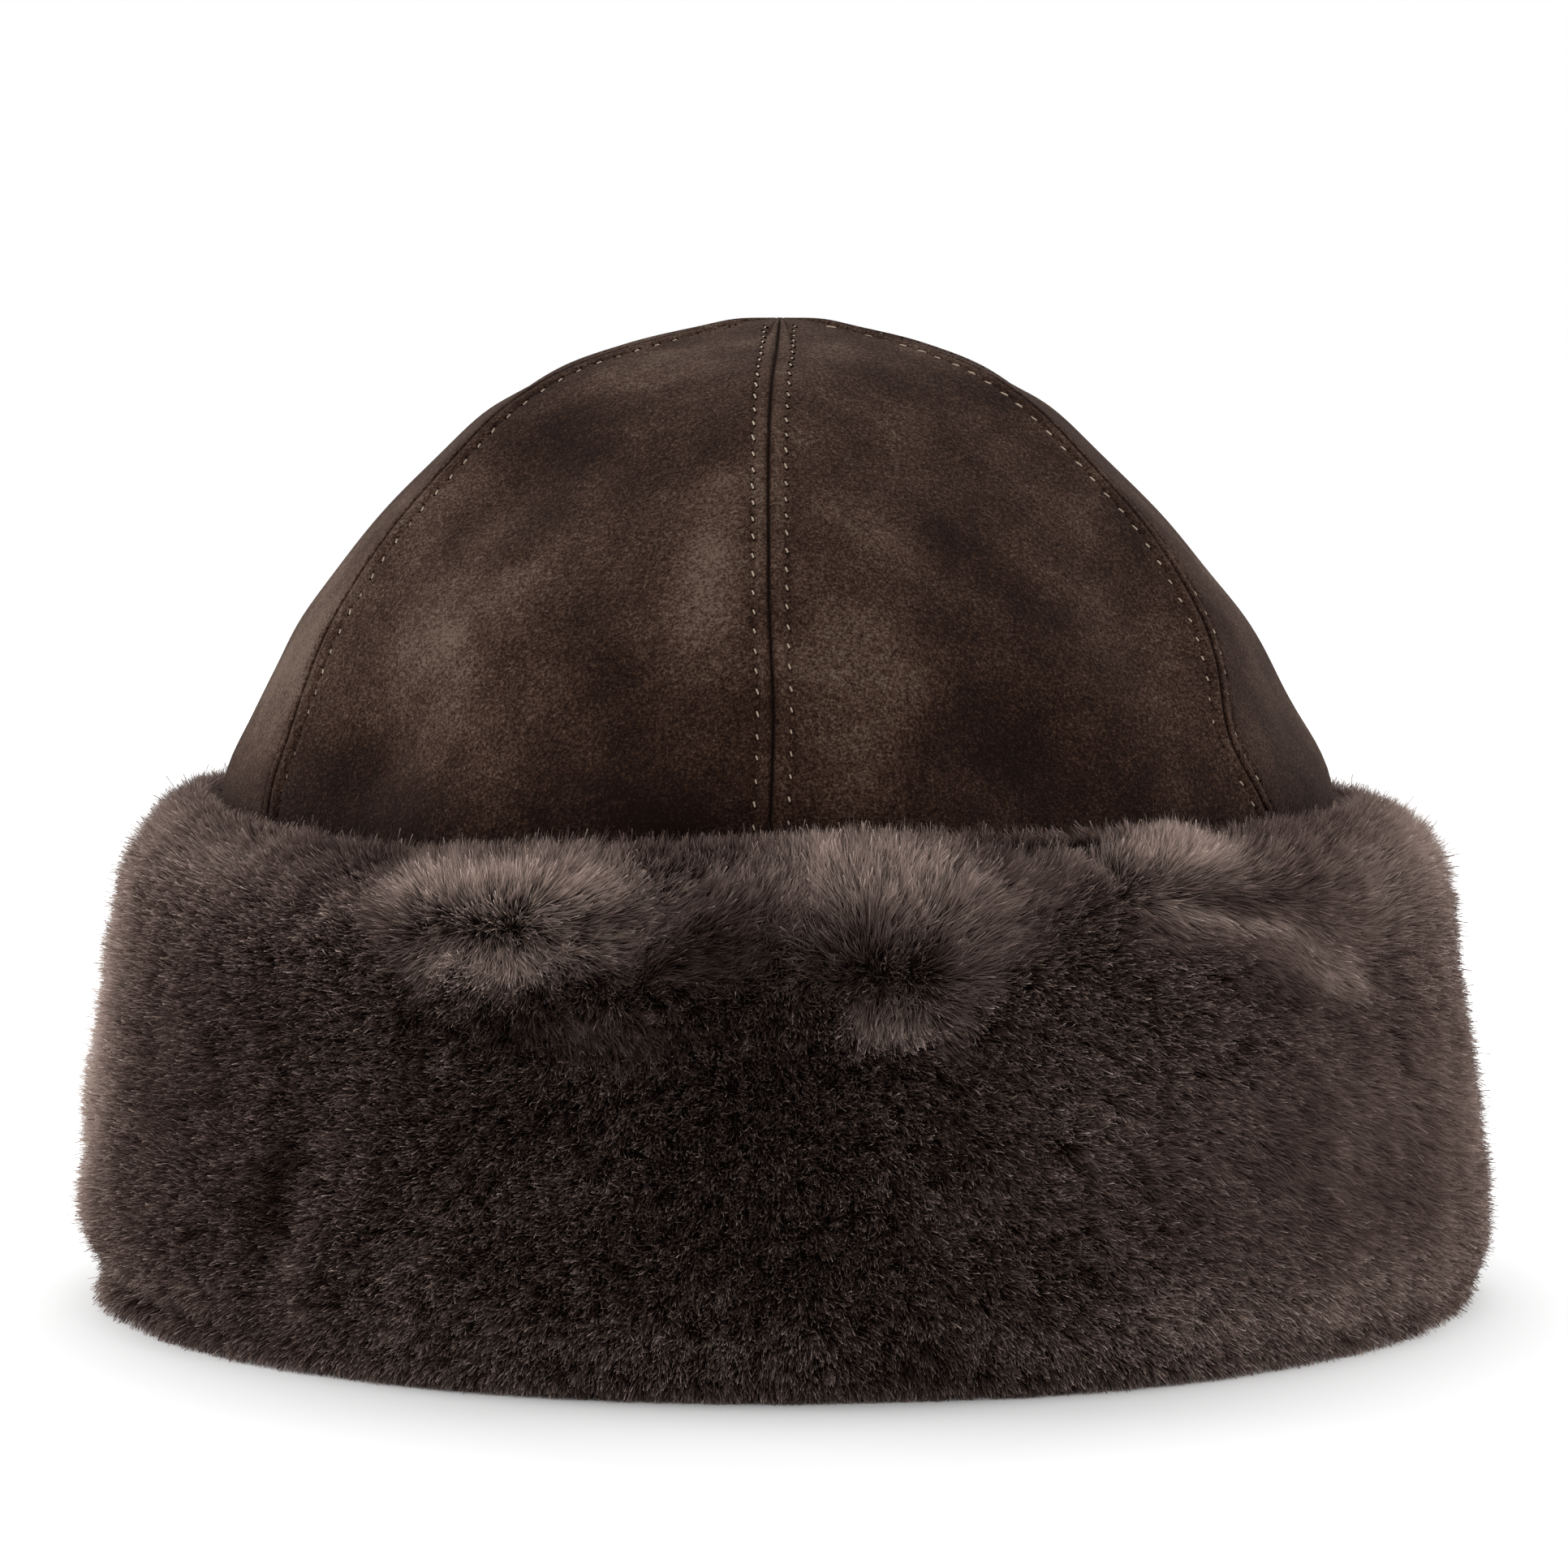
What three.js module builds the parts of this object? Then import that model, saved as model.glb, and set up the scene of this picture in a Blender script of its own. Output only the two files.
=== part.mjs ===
// A shearling hat standing on its turned-up cuff. Six gores of suede-faced shearling make a
// hollow domed crown, and a deep fur cuff, sewn from two halves, runs round its lower part and
// rolls in under its hem. Millimetres, +Z up. The front faces -Y, and azimuths are measured from
// the front towards +X. The origin is the middle of the bottom of the hat's bounding box.

import * as THREE from "three";

// Driving dimensions, in millimetres.
const CROWN_HEIGHT = 178; // floor to the outside of the crown's top
const CROWN_RADIUS = 103; // outside of the crown, from its axis to a seam, at the hem
const CROWN_WALL = 10; // skin and sheared fleece together
const HEM_HEIGHT = 9; // floor to the lower edge of the gores
const CUFF_HEIGHT = 94; // floor to the top of the fur
const CUFF_THICKNESS = 23.2; // from the crown to the fur's mean surface, where it is deepest
const CUFF_TUCK = 3.5; // how far the roll under the hem is rounded off on its inner side
const SEAM_GAP = 0.3; // between two pieces that are sewn together
const CUFF_GAP = 0.5; // between the crown and the cuff
const SEAM_DIP = 0.8; // how far a gore's edge sinks into its seam
const FUR_PARTING = 2; // how far the fur sinks at the cuff's seams
const LOCK_RELIEF = 2; // how far the deepest lock's tip stands over the fur's mean surface
const LOCK_LAY = 2; // how far a lock's tip hangs under its root

// The form of a real hat that stands by itself.
const OVAL = 1.03; // front to back over side to side
const SEAM_TWIST = -2.6; // degrees from a seam's foot on the floor to the top of the crown
const TWIST_POWER = 1.7; // over 1, so that most of the twist is low down
const GORES = 6;
const GORE_COLUMNS = [0, 0.06, 0.2, 0.35, 0.5, 0.65, 0.8, 0.94, 1]; // shares of a gore's width
const CUFF_HALVES = 2;
const LOCK_COLUMNS = 60; // round one half of the cuff
const LOCK_ROWS = 19; // from the floor to the top of the cuff
const LOCK_SPREAD = 0.65; // share of a lock's relief that varies from lock to lock
const LOCK_DRIFT = 0.6; // how far a lock may lie off its column, as a share of a column's width

// The crown's sections from the hem to the top. height and radius are shares of CROWN_HEIGHT,
// measured from the floor, and of CROWN_RADIUS. flat runs from 0, a round section, to 1, a
// section with straight gores between the seams. lean is the section's shift to +X as a share of
// CROWN_RADIUS.
const CROWN_SECTIONS = [
  { height: 0.25, radius: 1.0, flat: 0, lean: 0 },
  { height: 0.45, radius: 1.0, flat: 0.08, lean: -0.004 },
  { height: 0.545, radius: 0.99, flat: 0.15, lean: -0.003 },
  { height: 0.595, radius: 0.961, flat: 0.25, lean: -0.002 },
  { height: 0.645, radius: 0.928, flat: 0.35, lean: -0.003 },
  { height: 0.695, radius: 0.882, flat: 0.4, lean: -0.009 },
  { height: 0.745, radius: 0.821, flat: 0.45, lean: -0.014 },
  { height: 0.795, radius: 0.751, flat: 0.5, lean: -0.016 },
  { height: 0.86, radius: 0.638, flat: 0.6, lean: -0.018 },
  { height: 0.91, radius: 0.541, flat: 0.7, lean: -0.017 },
  { height: 0.944, radius: 0.447, flat: 0.8, lean: -0.013 },
  { height: 0.971, radius: 0.308, flat: 0.85, lean: -0.006 },
  { height: 0.989, radius: 0.166, flat: 0.85, lean: -0.002 },
  { height: 0.998, radius: 0.085, flat: 0.85, lean: 0 },
  { height: 1, radius: 0.01, flat: 0.85, lean: 0 },
];

// Dents and swells in the gores. azimuth and width are degrees, height and span shares of
// CROWN_HEIGHT, and depth a share of CROWN_WALL, positive inwards.
const CROWN_DENTS = [
  { name: "hollow, front left", azimuth: -46, width: 7, height: 0.57, span: 0.07, depth: 0.4 },
  { name: "hollow, front right", azimuth: 28, width: 13, height: 0.58, span: 0.08, depth: 0.34 },
  { name: "swell by the front seam", azimuth: 13, width: 6, height: 0.73, span: 0.1, depth: -0.12 },
  { name: "dip, right shoulder", azimuth: 50, width: 8, height: 0.69, span: 0.07, depth: 0.26 },
  { name: "slack in the right gore", azimuth: 80, width: 12, height: 0.62, span: 0.05, depth: 0.18 },
  { name: "shoulder crease, left", azimuth: -42, width: 10, height: 0.84, span: 0.05, depth: 0.22 },
  { name: "swell, front left", azimuth: -35, width: 12, height: 0.7, span: 0.08, depth: -0.16 },
  { name: "kink near the top, left", azimuth: -88, width: 22, height: 0.94, span: 0.025, depth: 0.12 },
  { name: "kink near the top, right", azimuth: 88, width: 22, height: 0.95, span: 0.025, depth: 0.14 },
  { name: "hollow, back left", azimuth: -148, width: 12, height: 0.58, span: 0.08, depth: 0.3 },
  { name: "hollow, back right", azimuth: 155, width: 10, height: 0.59, span: 0.07, depth: 0.28 },
  { name: "dip, back right", azimuth: 140, width: 11, height: 0.76, span: 0.07, depth: 0.22 },
  { name: "swell, back left", azimuth: -140, width: 12, height: 0.74, span: 0.08, depth: -0.14 },
];

// Places where the seams run off their even spacing. Columns as in CROWN_DENTS, but depth is a
// turn to the right as seen from outside, in degrees.
const SEAM_SHIFTS = [
  { name: "bow of the right seam", azimuth: 60, width: 22, height: 0.6, span: 0.085, depth: -6.5 },
];

// The cuff's outer profile from the floor to its top: height is a share of CUFF_HEIGHT and
// thickness a share of CUFF_THICKNESS, outside CROWN_RADIUS.
const CUFF_PROFILE = [
  { height: 0, thickness: 0.7 },
  { height: 0.02, thickness: 0.9 },
  { height: 0.08, thickness: 0.975 },
  { height: 0.18, thickness: 1.0 },
  { height: 0.31, thickness: 0.965 },
  { height: 0.47, thickness: 0.89 },
  { height: 0.62, thickness: 0.805 },
  { height: 0.77, thickness: 0.71 },
  { height: 0.85, thickness: 0.6 },
  { height: 0.925, thickness: 0.43 },
  { height: 0.975, thickness: 0.25 },
  { height: 0.99, thickness: 0.12 },
];
const CUFF_LIP = 0.91; // share of CUFF_HEIGHT at which the fur leans on the crown

// Bulges and creases of the fur. Columns as in CROWN_DENTS, but height and span are shares of
// CUFF_HEIGHT, depth is a share of CUFF_THICKNESS, and slant is the azimuth's drift, in degrees,
// over the height of the cuff.
const FUR_FOLDS = [
  { name: "left tuft", azimuth: -24, width: 13, height: 0.87, span: 0.06, depth: -0.12, slant: 0 },
  { name: "left parting", azimuth: -22, width: 8, height: 0.845, span: 0.03, depth: 0.08, slant: 0 },
  { name: "lobe under it", azimuth: -21, width: 9, height: 0.75, span: 0.06, depth: -0.1, slant: 0 },
  { name: "its lower edge", azimuth: -21, width: 10, height: 0.65, span: 0.04, depth: 0.06, slant: 0 },
  { name: "middle tuft", azimuth: 7, width: 13, height: 0.86, span: 0.06, depth: -0.13, slant: 0 },
  { name: "middle parting", azimuth: 7, width: 6, height: 0.78, span: 0.04, depth: 0.1, slant: -90 },
  { name: "lobe under it", azimuth: 10, width: 7, height: 0.69, span: 0.06, depth: -0.1, slant: 0 },
  { name: "its lower edge", azimuth: 10, width: 8, height: 0.59, span: 0.04, depth: 0.07, slant: 0 },
  { name: "right tuft", azimuth: 36, width: 12, height: 0.9, span: 0.05, depth: -0.1, slant: 0 },
  { name: "right parting", azimuth: 38, width: 9, height: 0.885, span: 0.03, depth: 0.08, slant: 0 },
  { name: "band under it", azimuth: 38, width: 12, height: 0.8, span: 0.06, depth: -0.07, slant: 0 },
  { name: "right corner", azimuth: 64, width: 10, height: 0.9, span: 0.08, depth: -0.07, slant: 0 },
  { name: "right corner's crease", azimuth: 60, width: 3, height: 0.74, span: 0.07, depth: 0.08, slant: 0 },
  { name: "nick, front left", azimuth: -38, width: 4, height: 0.97, span: 0.08, depth: 0.1, slant: 0 },
  { name: "nick, front right", azimuth: 22, width: 4, height: 0.96, span: 0.08, depth: 0.1, slant: 0 },
  { name: "notch by the middle tuft", azimuth: 30, width: 4, height: 0.98, span: 0.07, depth: 0.15, slant: 0 },
  { name: "notch in the right tuft", azimuth: 46, width: 3.5, height: 0.98, span: 0.06, depth: 0.1, slant: 0 },
  { name: "square corner, right", azimuth: 88, width: 22, height: 0.87, span: 0.1, depth: -0.15, slant: 0 },
  { name: "standing crease, left", azimuth: -29, width: 2, height: 0.62, span: 0.12, depth: 0.08, slant: 0 },
  { name: "slanting crease, left", azimuth: -41, width: 2.5, height: 0.28, span: 0.13, depth: 0.12, slant: 15 },
  { name: "tuck, lower left", azimuth: -68, width: 32, height: 0.03, span: 0.08, depth: 0.27, slant: 0 },
  { name: "tuck, lower right", azimuth: 66, width: 28, height: 0.03, span: 0.08, depth: 0.07, slant: 0 },
  { name: "hollow, lower right", azimuth: 12, width: 5, height: 0.06, span: 0.05, depth: 0.1, slant: 0 },
  { name: "tuft at the back", azimuth: 172, width: 13, height: 0.91, span: 0.08, depth: -0.12, slant: 0 },
  { name: "parting at the back", azimuth: 170, width: 10, height: 0.8, span: 0.035, depth: 0.09, slant: 0 },
  { name: "tuft at the back left", azimuth: -138, width: 10, height: 0.86, span: 0.1, depth: -0.11, slant: 0 },
  { name: "tuft at the back right", azimuth: 126, width: 11, height: 0.85, span: 0.1, depth: -0.1, slant: 0 },
  { name: "crease, back right", azimuth: 108, width: 3, height: 0.5, span: 0.18, depth: 0.12, slant: -10 },
];

// Places where the cuff's rim sags. Columns as in FUR_FOLDS, but depth is a share of CUFF_HEIGHT
// by which the fur stands lower.
const RIM_SAGS = [
  { name: "front", azimuth: -32, width: 24, height: 1.02, span: 0.13, depth: 0.04 },
  { name: "front right", azimuth: 56, width: 16, height: 1.02, span: 0.13, depth: 0.022 },
  { name: "right", azimuth: 95, width: 28, height: 1.02, span: 0.13, depth: 0.042 },
  { name: "front left", azimuth: -55, width: 20, height: 1.02, span: 0.13, depth: 0.018 },
];

const FULL_TURN = 360;
const GORE_ANGLE = FULL_TURN / GORES;
const radians = THREE.MathUtils.degToRad;
const lerp = THREE.MathUtils.lerp;

// The difference of two azimuths, from -180 to 180 degrees.
function turnBetween(from, to) {
  return THREE.MathUtils.euclideanModulo(to - from + FULL_TURN / 2, FULL_TURN) - FULL_TURN / 2;
}

// The sum of a table's dents at a place, as its depth column gives them.
function dentAt(table, azimuth, height) {
  let depth = 0;
  for (const dent of table) {
    const middle = dent.azimuth + (dent.slant ?? 0) * (height - dent.height);
    const across = turnBetween(middle, azimuth) / dent.width;
    const along = (height - dent.height) / dent.span;
    depth += dent.depth * Math.exp(-across * across - along * along);
  }
  return depth;
}

// A number from 0 to 1 that looks random and is the same for the same row and column.
function scatter(row, column) {
  const wave = Math.sin(row * 127.1 + column * 311.7) * 43758.5453;
  return wave - Math.floor(wave);
}

// How far a section reaches at an azimuth, as a share of its reach at the seams.
function sectionShare(azimuth, flat) {
  const toSeam = THREE.MathUtils.euclideanModulo(azimuth, GORE_ANGLE) - GORE_ANGLE / 2;
  const straight = Math.cos(radians(GORE_ANGLE / 2)) / Math.cos(radians(toSeam));
  return lerp(1, straight, flat);
}

// A point at a distance from the hat's axis, on the oval that all its sections follow. The
// azimuth is that at the top of the crown, and the twist is added here.
function pointAt(azimuth, radius, height, lean = 0) {
  const share = height / CROWN_HEIGHT;
  const twist = SEAM_TWIST * Math.max(1 - share, 0) ** TWIST_POWER;
  const angle = radians(azimuth + twist);
  return new THREE.Vector3(radius * Math.sin(angle) + lean, -OVAL * radius * Math.cos(angle), height);
}

// The crown's outer meridian over a seam, from the hem to the gores' tips, in millimetres.
function crownMeridian() {
  const hem = { ...CROWN_SECTIONS[0], height: HEM_HEIGHT / CROWN_HEIGHT };
  return [hem, ...CROWN_SECTIONS].map((section) => ({
    radius: section.radius * CROWN_RADIUS,
    height: section.height * CROWN_HEIGHT,
    flat: section.flat,
    lean: section.lean * CROWN_RADIUS,
  }));
}

// The meridian's outward direction at each row, as shares of radius and height.
function meridianNormals(rows) {
  return rows.map((row, i) => {
    const before = rows[Math.max(i - 1, 0)];
    const after = rows[Math.min(i + 1, rows.length - 1)];
    const length = Math.hypot(after.radius - before.radius, after.height - before.height);
    return {
      radius: (after.height - before.height) / length,
      height: (before.radius - after.radius) / length,
    };
  });
}

const MERIDIAN = crownMeridian();
const NORMALS = meridianNormals(MERIDIAN);
const LAST = MERIDIAN.length - 1;
NORMALS[0] = { radius: 1, height: 0 }; // the hem is cut level
NORMALS[LAST] = { radius: 0, height: 1 }; // the tips meet upright

// The crown's outer radius at an azimuth and a height below the top of the cuff or a little over it.
function crownRadius(azimuth, height) {
  const above = MERIDIAN.findIndex((row) => row.height >= height);
  const upper = MERIDIAN[Math.max(above, 1)];
  const lower = MERIDIAN[Math.max(above, 1) - 1];
  const share = (height - lower.height) / (upper.height - lower.height);
  const round = lerp(
    lower.radius * sectionShare(azimuth, lower.flat),
    upper.radius * sectionShare(azimuth, upper.flat),
    share,
  );
  return { radius: round, lean: lerp(lower.lean, upper.lean, share) };
}

// The triangles of a cap over a loop that has as many points on its inner side as on its outer.
function ladderCap(count) {
  const faces = [];
  for (let i = 0; i + 1 < count / 2; i += 1) {
    faces.push([i, i + 1, count - 1 - i], [i + 1, count - 2 - i, count - 1 - i]);
  }
  return faces;
}

// The triangles of a cap over any other loop.
function plainCap(loop) {
  const outline = loop.map((p) => new THREE.Vector2(Math.hypot(p.x, p.y), p.z));
  return THREE.ShapeUtils.triangulateShape(outline, []);
}

// One closed body from a loop of points at each column. A loop runs up its outer side and down
// its inner side. The first and last loops are capped.
function sweptBody(loops, capOf) {
  const positions = loops.flat().flatMap((point) => point.toArray());
  const count = loops[0].length;
  const faces = [];
  for (let column = 0; column + 1 < loops.length; column += 1) {
    for (let i = 0; i < count; i += 1) {
      const a = column * count + i;
      const b = column * count + ((i + 1) % count);
      faces.push(...((column + i) % 2 === 0
        ? [a, a + count, b, b, a + count, b + count]
        : [a, b + count, b, a, a + count, b + count]));
    }
  }
  for (const column of [0, loops.length - 1]) {
    const base = column * count;
    for (const [a, b, c] of capOf(loops[column])) {
      faces.push(...(column === 0 ? [base + a, base + b, base + c] : [base + a, base + c, base + b]));
    }
  }
  const geometry = new THREE.BufferGeometry();
  geometry.setAttribute("position", new THREE.Float32BufferAttribute(positions, 3));
  geometry.setIndex(faces);
  geometry.computeVertexNormals();
  return geometry;
}

// Half the seam gap as an angle, at a distance from the axis.
function gapAngle(radius) {
  return THREE.MathUtils.radToDeg(SEAM_GAP / 2 / radius);
}

// A gore from the seam at its first azimuth to the next: suede outside, fleece inside.
function goreGeometry(firstSeam) {
  const loops = GORE_COLUMNS.map((column) => {
    const edge = column === 0 || column === 1;
    const outer = [];
    const inner = [];
    MERIDIAN.forEach((row, i) => {
      const normal = NORMALS[i];
      const innerRadius = Math.max(row.radius - CROWN_WALL * normal.radius, MERIDIAN[LAST].radius);
      const innerHeight = row.height - CROWN_WALL * normal.height;
      const place = (radius, height, sink) => {
        const gap = gapAngle(radius);
        const azimuth = firstSeam + lerp(gap, GORE_ANGLE - gap, column);
        const share = row.height / CROWN_HEIGHT;
        const dent = dentAt(CROWN_DENTS, azimuth, share) * CROWN_WALL;
        const turned = azimuth + dentAt(SEAM_SHIFTS, azimuth, share);
        const fade = Math.min(row.radius / CROWN_WALL, 1);
        const inwards = (dent + sink) * fade;
        const reach = radius * sectionShare(azimuth, row.flat) - inwards * normal.radius;
        return pointAt(turned, reach, height - inwards * normal.height, row.lean);
      };
      outer.push(place(row.radius, row.height, edge ? SEAM_DIP : 0));
      inner.push(place(innerRadius, innerHeight, 0));
    });
    return [...outer, ...inner.reverse()];
  });
  return sweptBody(loops, (loop) => ladderCap(loop.length));
}

// The cuff's mean outer profile from the floor to its top, in evenly spaced rows.
function cuffRows() {
  const points = CUFF_PROFILE.map(
    (row) =>
      new THREE.Vector2(
        CROWN_RADIUS + CUFF_GAP + row.thickness * CUFF_THICKNESS,
        row.height * CUFF_HEIGHT,
      ),
  );
  return new THREE.SplineCurve(points).getSpacedPoints(LOCK_ROWS);
}

// The inner side of the cuff, from its lip down beside the crown and under the hem to the floor.
function cuffInside(azimuth) {
  const lipHeight = CUFF_LIP * CUFF_HEIGHT;
  const between = MERIDIAN.map((row) => row.height).filter((h) => h > HEM_HEIGHT && h < lipHeight);
  const heights = [lipHeight, ...between.reverse(), HEM_HEIGHT];
  const beside = heights.map((height) => {
    const crown = crownRadius(azimuth, height);
    const under = height === HEM_HEIGHT ? SEAM_GAP : 0;
    return pointAt(azimuth, crown.radius + CUFF_GAP, height - under, crown.lean);
  });
  const innerRadius = MERIDIAN[0].radius - CROWN_WALL;
  const rollTop = HEM_HEIGHT - SEAM_GAP;
  return [
    ...beside,
    pointAt(azimuth, innerRadius + CUFF_TUCK / 2, rollTop),
    pointAt(azimuth, innerRadius, rollTop / 2),
    pointAt(azimuth, innerRadius + CUFF_TUCK, 0),
  ];
}

// The fur's outer side as rows of locks, each with its tip out and hanging down, its root in. At
// the seams all locks are alike, so that the two halves' edges match.
function cuffOutside(azimuthOfColumn, column, columnWidth) {
  const rows = cuffRows();
  const seam = column === 0 || column === LOCK_COLUMNS;
  return rows.map((row, i) => {
    const share = row.y / CUFF_HEIGHT;
    const free = THREE.MathUtils.smoothstep(row.y, 0, 2 * LOCK_LAY + LOCK_RELIEF);
    const seed = Math.round(azimuthOfColumn);
    const size = 1 - LOCK_SPREAD * (seam ? 0 : scatter(i, seed));
    const drift = seam ? 0 : LOCK_DRIFT * (scatter(seed, i) - 0.5) * columnWidth * free;
    const azimuth = azimuthOfColumn + drift;
    const tip = (i + column) % 2 === 0;
    const relief = LOCK_RELIEF * size * (tip ? 1 : -1) - (seam ? FUR_PARTING : 0);
    const fold = dentAt(FUR_FOLDS, azimuth, share) * CUFF_THICKNESS;
    const after = rows[Math.min(i + 1, rows.length - 1)];
    const before = rows[Math.max(i - 1, 0)];
    const slope = new THREE.Vector2(after.y - before.y, before.x - after.x).normalize();
    const outwards = (relief - fold) * free;
    const hang = (tip ? LOCK_LAY * size : 0) * free;
    const sag = dentAt(RIM_SAGS, azimuth, share) * CUFF_HEIGHT;
    const height = row.y + outwards * slope.y - hang - sag;
    return pointAt(azimuth, row.x + outwards * slope.x, height);
  });
}

// One half of the cuff, from the seam at its first azimuth to the next.
function cuffGeometry(firstSeam) {
  const turn = FULL_TURN / CUFF_HALVES;
  const gap = gapAngle(CROWN_RADIUS);
  const loops = [];
  for (let column = 0; column <= LOCK_COLUMNS; column += 1) {
    const azimuth = firstSeam + lerp(gap, turn - gap, column / LOCK_COLUMNS);
    const outside = cuffOutside(azimuth, column, turn / LOCK_COLUMNS);
    loops.push([...outside, ...cuffInside(azimuth)]);
  }
  return sweptBody(loops, plainCap);
}

const suede = new THREE.MeshStandardMaterial({ color: 0x47362d, roughness: 0.95, metalness: 0 });
const fur = new THREE.MeshStandardMaterial({ color: 0x51453f, roughness: 1, metalness: 0 });

const GORE_NAMES = ["front_right", "right", "back_right", "back_left", "left", "front_left"];
const HALF_NAMES = ["right", "left"];

const pieces = new THREE.Group();
for (let gore = 0; gore < GORES; gore += 1) {
  const mesh = new THREE.Mesh(goreGeometry(gore * GORE_ANGLE), suede);
  mesh.name = `crown_gore_${GORE_NAMES[gore] ?? gore + 1}`;
  pieces.add(mesh);
}
for (let half = 0; half < CUFF_HALVES; half += 1) {
  const mesh = new THREE.Mesh(cuffGeometry((half * FULL_TURN) / CUFF_HALVES), fur);
  mesh.name = `cuff_${HALF_NAMES[half] ?? half + 1}`;
  pieces.add(mesh);
}

// The origin goes to the middle of the bottom of the hat's box.
const bounds = new THREE.Box3().setFromObject(pieces);
const middle = bounds.getCenter(new THREE.Vector3());
pieces.position.set(-middle.x, -middle.y, -bounds.min.z);

const hat = new THREE.Group();
hat.add(pieces);

export default hat;
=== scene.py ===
"""A shearling hat: a suede crown of six gores and a turned-up cuff of dense sheared fur."""
import math

import bpy
import numpy as np
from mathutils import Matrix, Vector


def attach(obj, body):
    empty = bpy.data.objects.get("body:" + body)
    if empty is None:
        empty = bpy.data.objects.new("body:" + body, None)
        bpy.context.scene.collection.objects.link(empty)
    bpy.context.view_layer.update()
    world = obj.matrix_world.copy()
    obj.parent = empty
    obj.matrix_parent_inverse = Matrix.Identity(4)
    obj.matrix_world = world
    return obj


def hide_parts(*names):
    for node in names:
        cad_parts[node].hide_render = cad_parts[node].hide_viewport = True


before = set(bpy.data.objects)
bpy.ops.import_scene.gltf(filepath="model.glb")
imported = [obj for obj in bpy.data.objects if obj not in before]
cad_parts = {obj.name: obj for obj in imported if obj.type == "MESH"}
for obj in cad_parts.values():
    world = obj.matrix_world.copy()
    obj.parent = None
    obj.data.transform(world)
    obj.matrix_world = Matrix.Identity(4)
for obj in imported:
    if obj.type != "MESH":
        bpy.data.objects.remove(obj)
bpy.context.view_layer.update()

MM = 0.001  # a millimetre, in metres

# The hat's sizes, in millimetres, as its solids have them.
CROWN_HEIGHT = 178.0
CROWN_RADIUS = 103.0
CROWN_WALL = 10.0
HEM_HEIGHT = 9.0
CUFF_HEIGHT = 94.0
CUFF_THICKNESS = 23.2
CUFF_GAP = 0.5  # between the crown and the cuff
CUFF_TUCK = 3.5  # how far the cuff's roll under the hem reaches outwards
OVAL = 1.03  # how much deeper than wide the hat is
GORES = 6
GORE_ANGLE = 360.0 / GORES
SEAM_TWIST = -2.6  # degrees that the seams turn between the tip and the floor
TWIST_POWER = 1.7  # most of the twist is low down
AXIS = (0.13, 0.12)  # where the crown's axis stands

# Sizes of what only shows close by, in millimetres.
SKIN = 1.2  # the gores' skin
STITCH_ROWS = {-1: 2.6, 1: 3.0}  # from a seam to the stitching at its left and at its right
STITCH_PITCH = 3.9
STITCH_LENGTH = 2.3
STITCH_START = 66.0  # from the hem to where the stitching comes out of the cuff
STITCH_STOP = 9.0  # from the end of the stitching to the crown's tip
STITCH_AHEAD = 0.8  # how far the right row's stitches are ahead of the left row's
STITCH_SLOPE = 0.34  # how much a stitch leans across its row
THREAD_RADIUS = 0.19
HOLE_SIZE = (0.36, 0.42)  # half of a needle hole, across and along its row
FUR_DEPTH = 2.6  # how deep the fur's bed lies under its mean surface
FUR_LENGTH = 4.0
FUR_WIDTH = 0.19  # a wisp of fur at its broad end
FUR_CLUMP = 0.9  # a clump of tips
FLEECE_DEPTH = 3.6  # how deep the fleece's bed lies under its mean surface
FLEECE_LENGTH = 4.4
FLEECE_WIDTH = 0.85
FLEECE_CLUMP = 2.2
FLOOR_GAP = 0.05  # from the floor to the lowest wisps
TIP_GAP = 0.08  # from the floor to the lowest tips

# height and radius are shares of CROWN_HEIGHT and CROWN_RADIUS, lean of CROWN_RADIUS.
CROWN_SECTIONS = np.array([
    # height, radius, flat, lean
    (HEM_HEIGHT / CROWN_HEIGHT, 1.0, 0.0, 0.0),
    (0.25, 1.0, 0.0, 0.0),
    (0.45, 1.0, 0.08, -0.004),
    (0.545, 0.99, 0.15, -0.003),
    (0.595, 0.961, 0.25, -0.002),
    (0.645, 0.928, 0.35, -0.003),
    (0.695, 0.882, 0.4, -0.009),
    (0.745, 0.821, 0.45, -0.014),
    (0.795, 0.751, 0.5, -0.016),
    (0.86, 0.638, 0.6, -0.018),
    (0.91, 0.541, 0.7, -0.017),
    (0.944, 0.447, 0.8, -0.013),
    (0.971, 0.308, 0.85, -0.006),
    (0.989, 0.166, 0.85, -0.002),
    (0.998, 0.085, 0.85, 0.0),
    (1.0, 0.01, 0.85, 0.0),
])

# Dents of the crown: azimuth and width in degrees, height and span as shares of CROWN_HEIGHT,
# depth as a share of CROWN_WALL, positive inwards, and slant in degrees over the crown's height.
CROWN_DENTS = [
    # azimuth, width, height, span, depth, slant
    (-46, 7, 0.57, 0.07, 0.40, 0),
    (28, 13, 0.58, 0.08, 0.34, 0),
    (13, 6, 0.73, 0.10, -0.12, 0),
    (50, 8, 0.69, 0.07, 0.26, 0),
    (80, 12, 0.62, 0.05, 0.18, 0),
    (-42, 10, 0.84, 0.05, 0.22, 0),
    (-35, 12, 0.70, 0.08, -0.16, 0),
    (-88, 22, 0.94, 0.025, 0.12, 0),
    (88, 22, 0.95, 0.025, 0.14, 0),
    (-148, 12, 0.58, 0.08, 0.30, 0),
    (155, 10, 0.59, 0.07, 0.28, 0),
    (140, 11, 0.76, 0.07, 0.22, 0),
    (-140, 12, 0.74, 0.08, -0.14, 0),
]

# Places where the seams run off their even spacing, with columns as in CROWN_DENTS, but the depth
# is a turn in degrees.
SEAM_SHIFTS = [
    # azimuth, width, height, span, turn, slant
    (60, 22, 0.60, 0.085, -6.5, 0),
]

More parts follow.
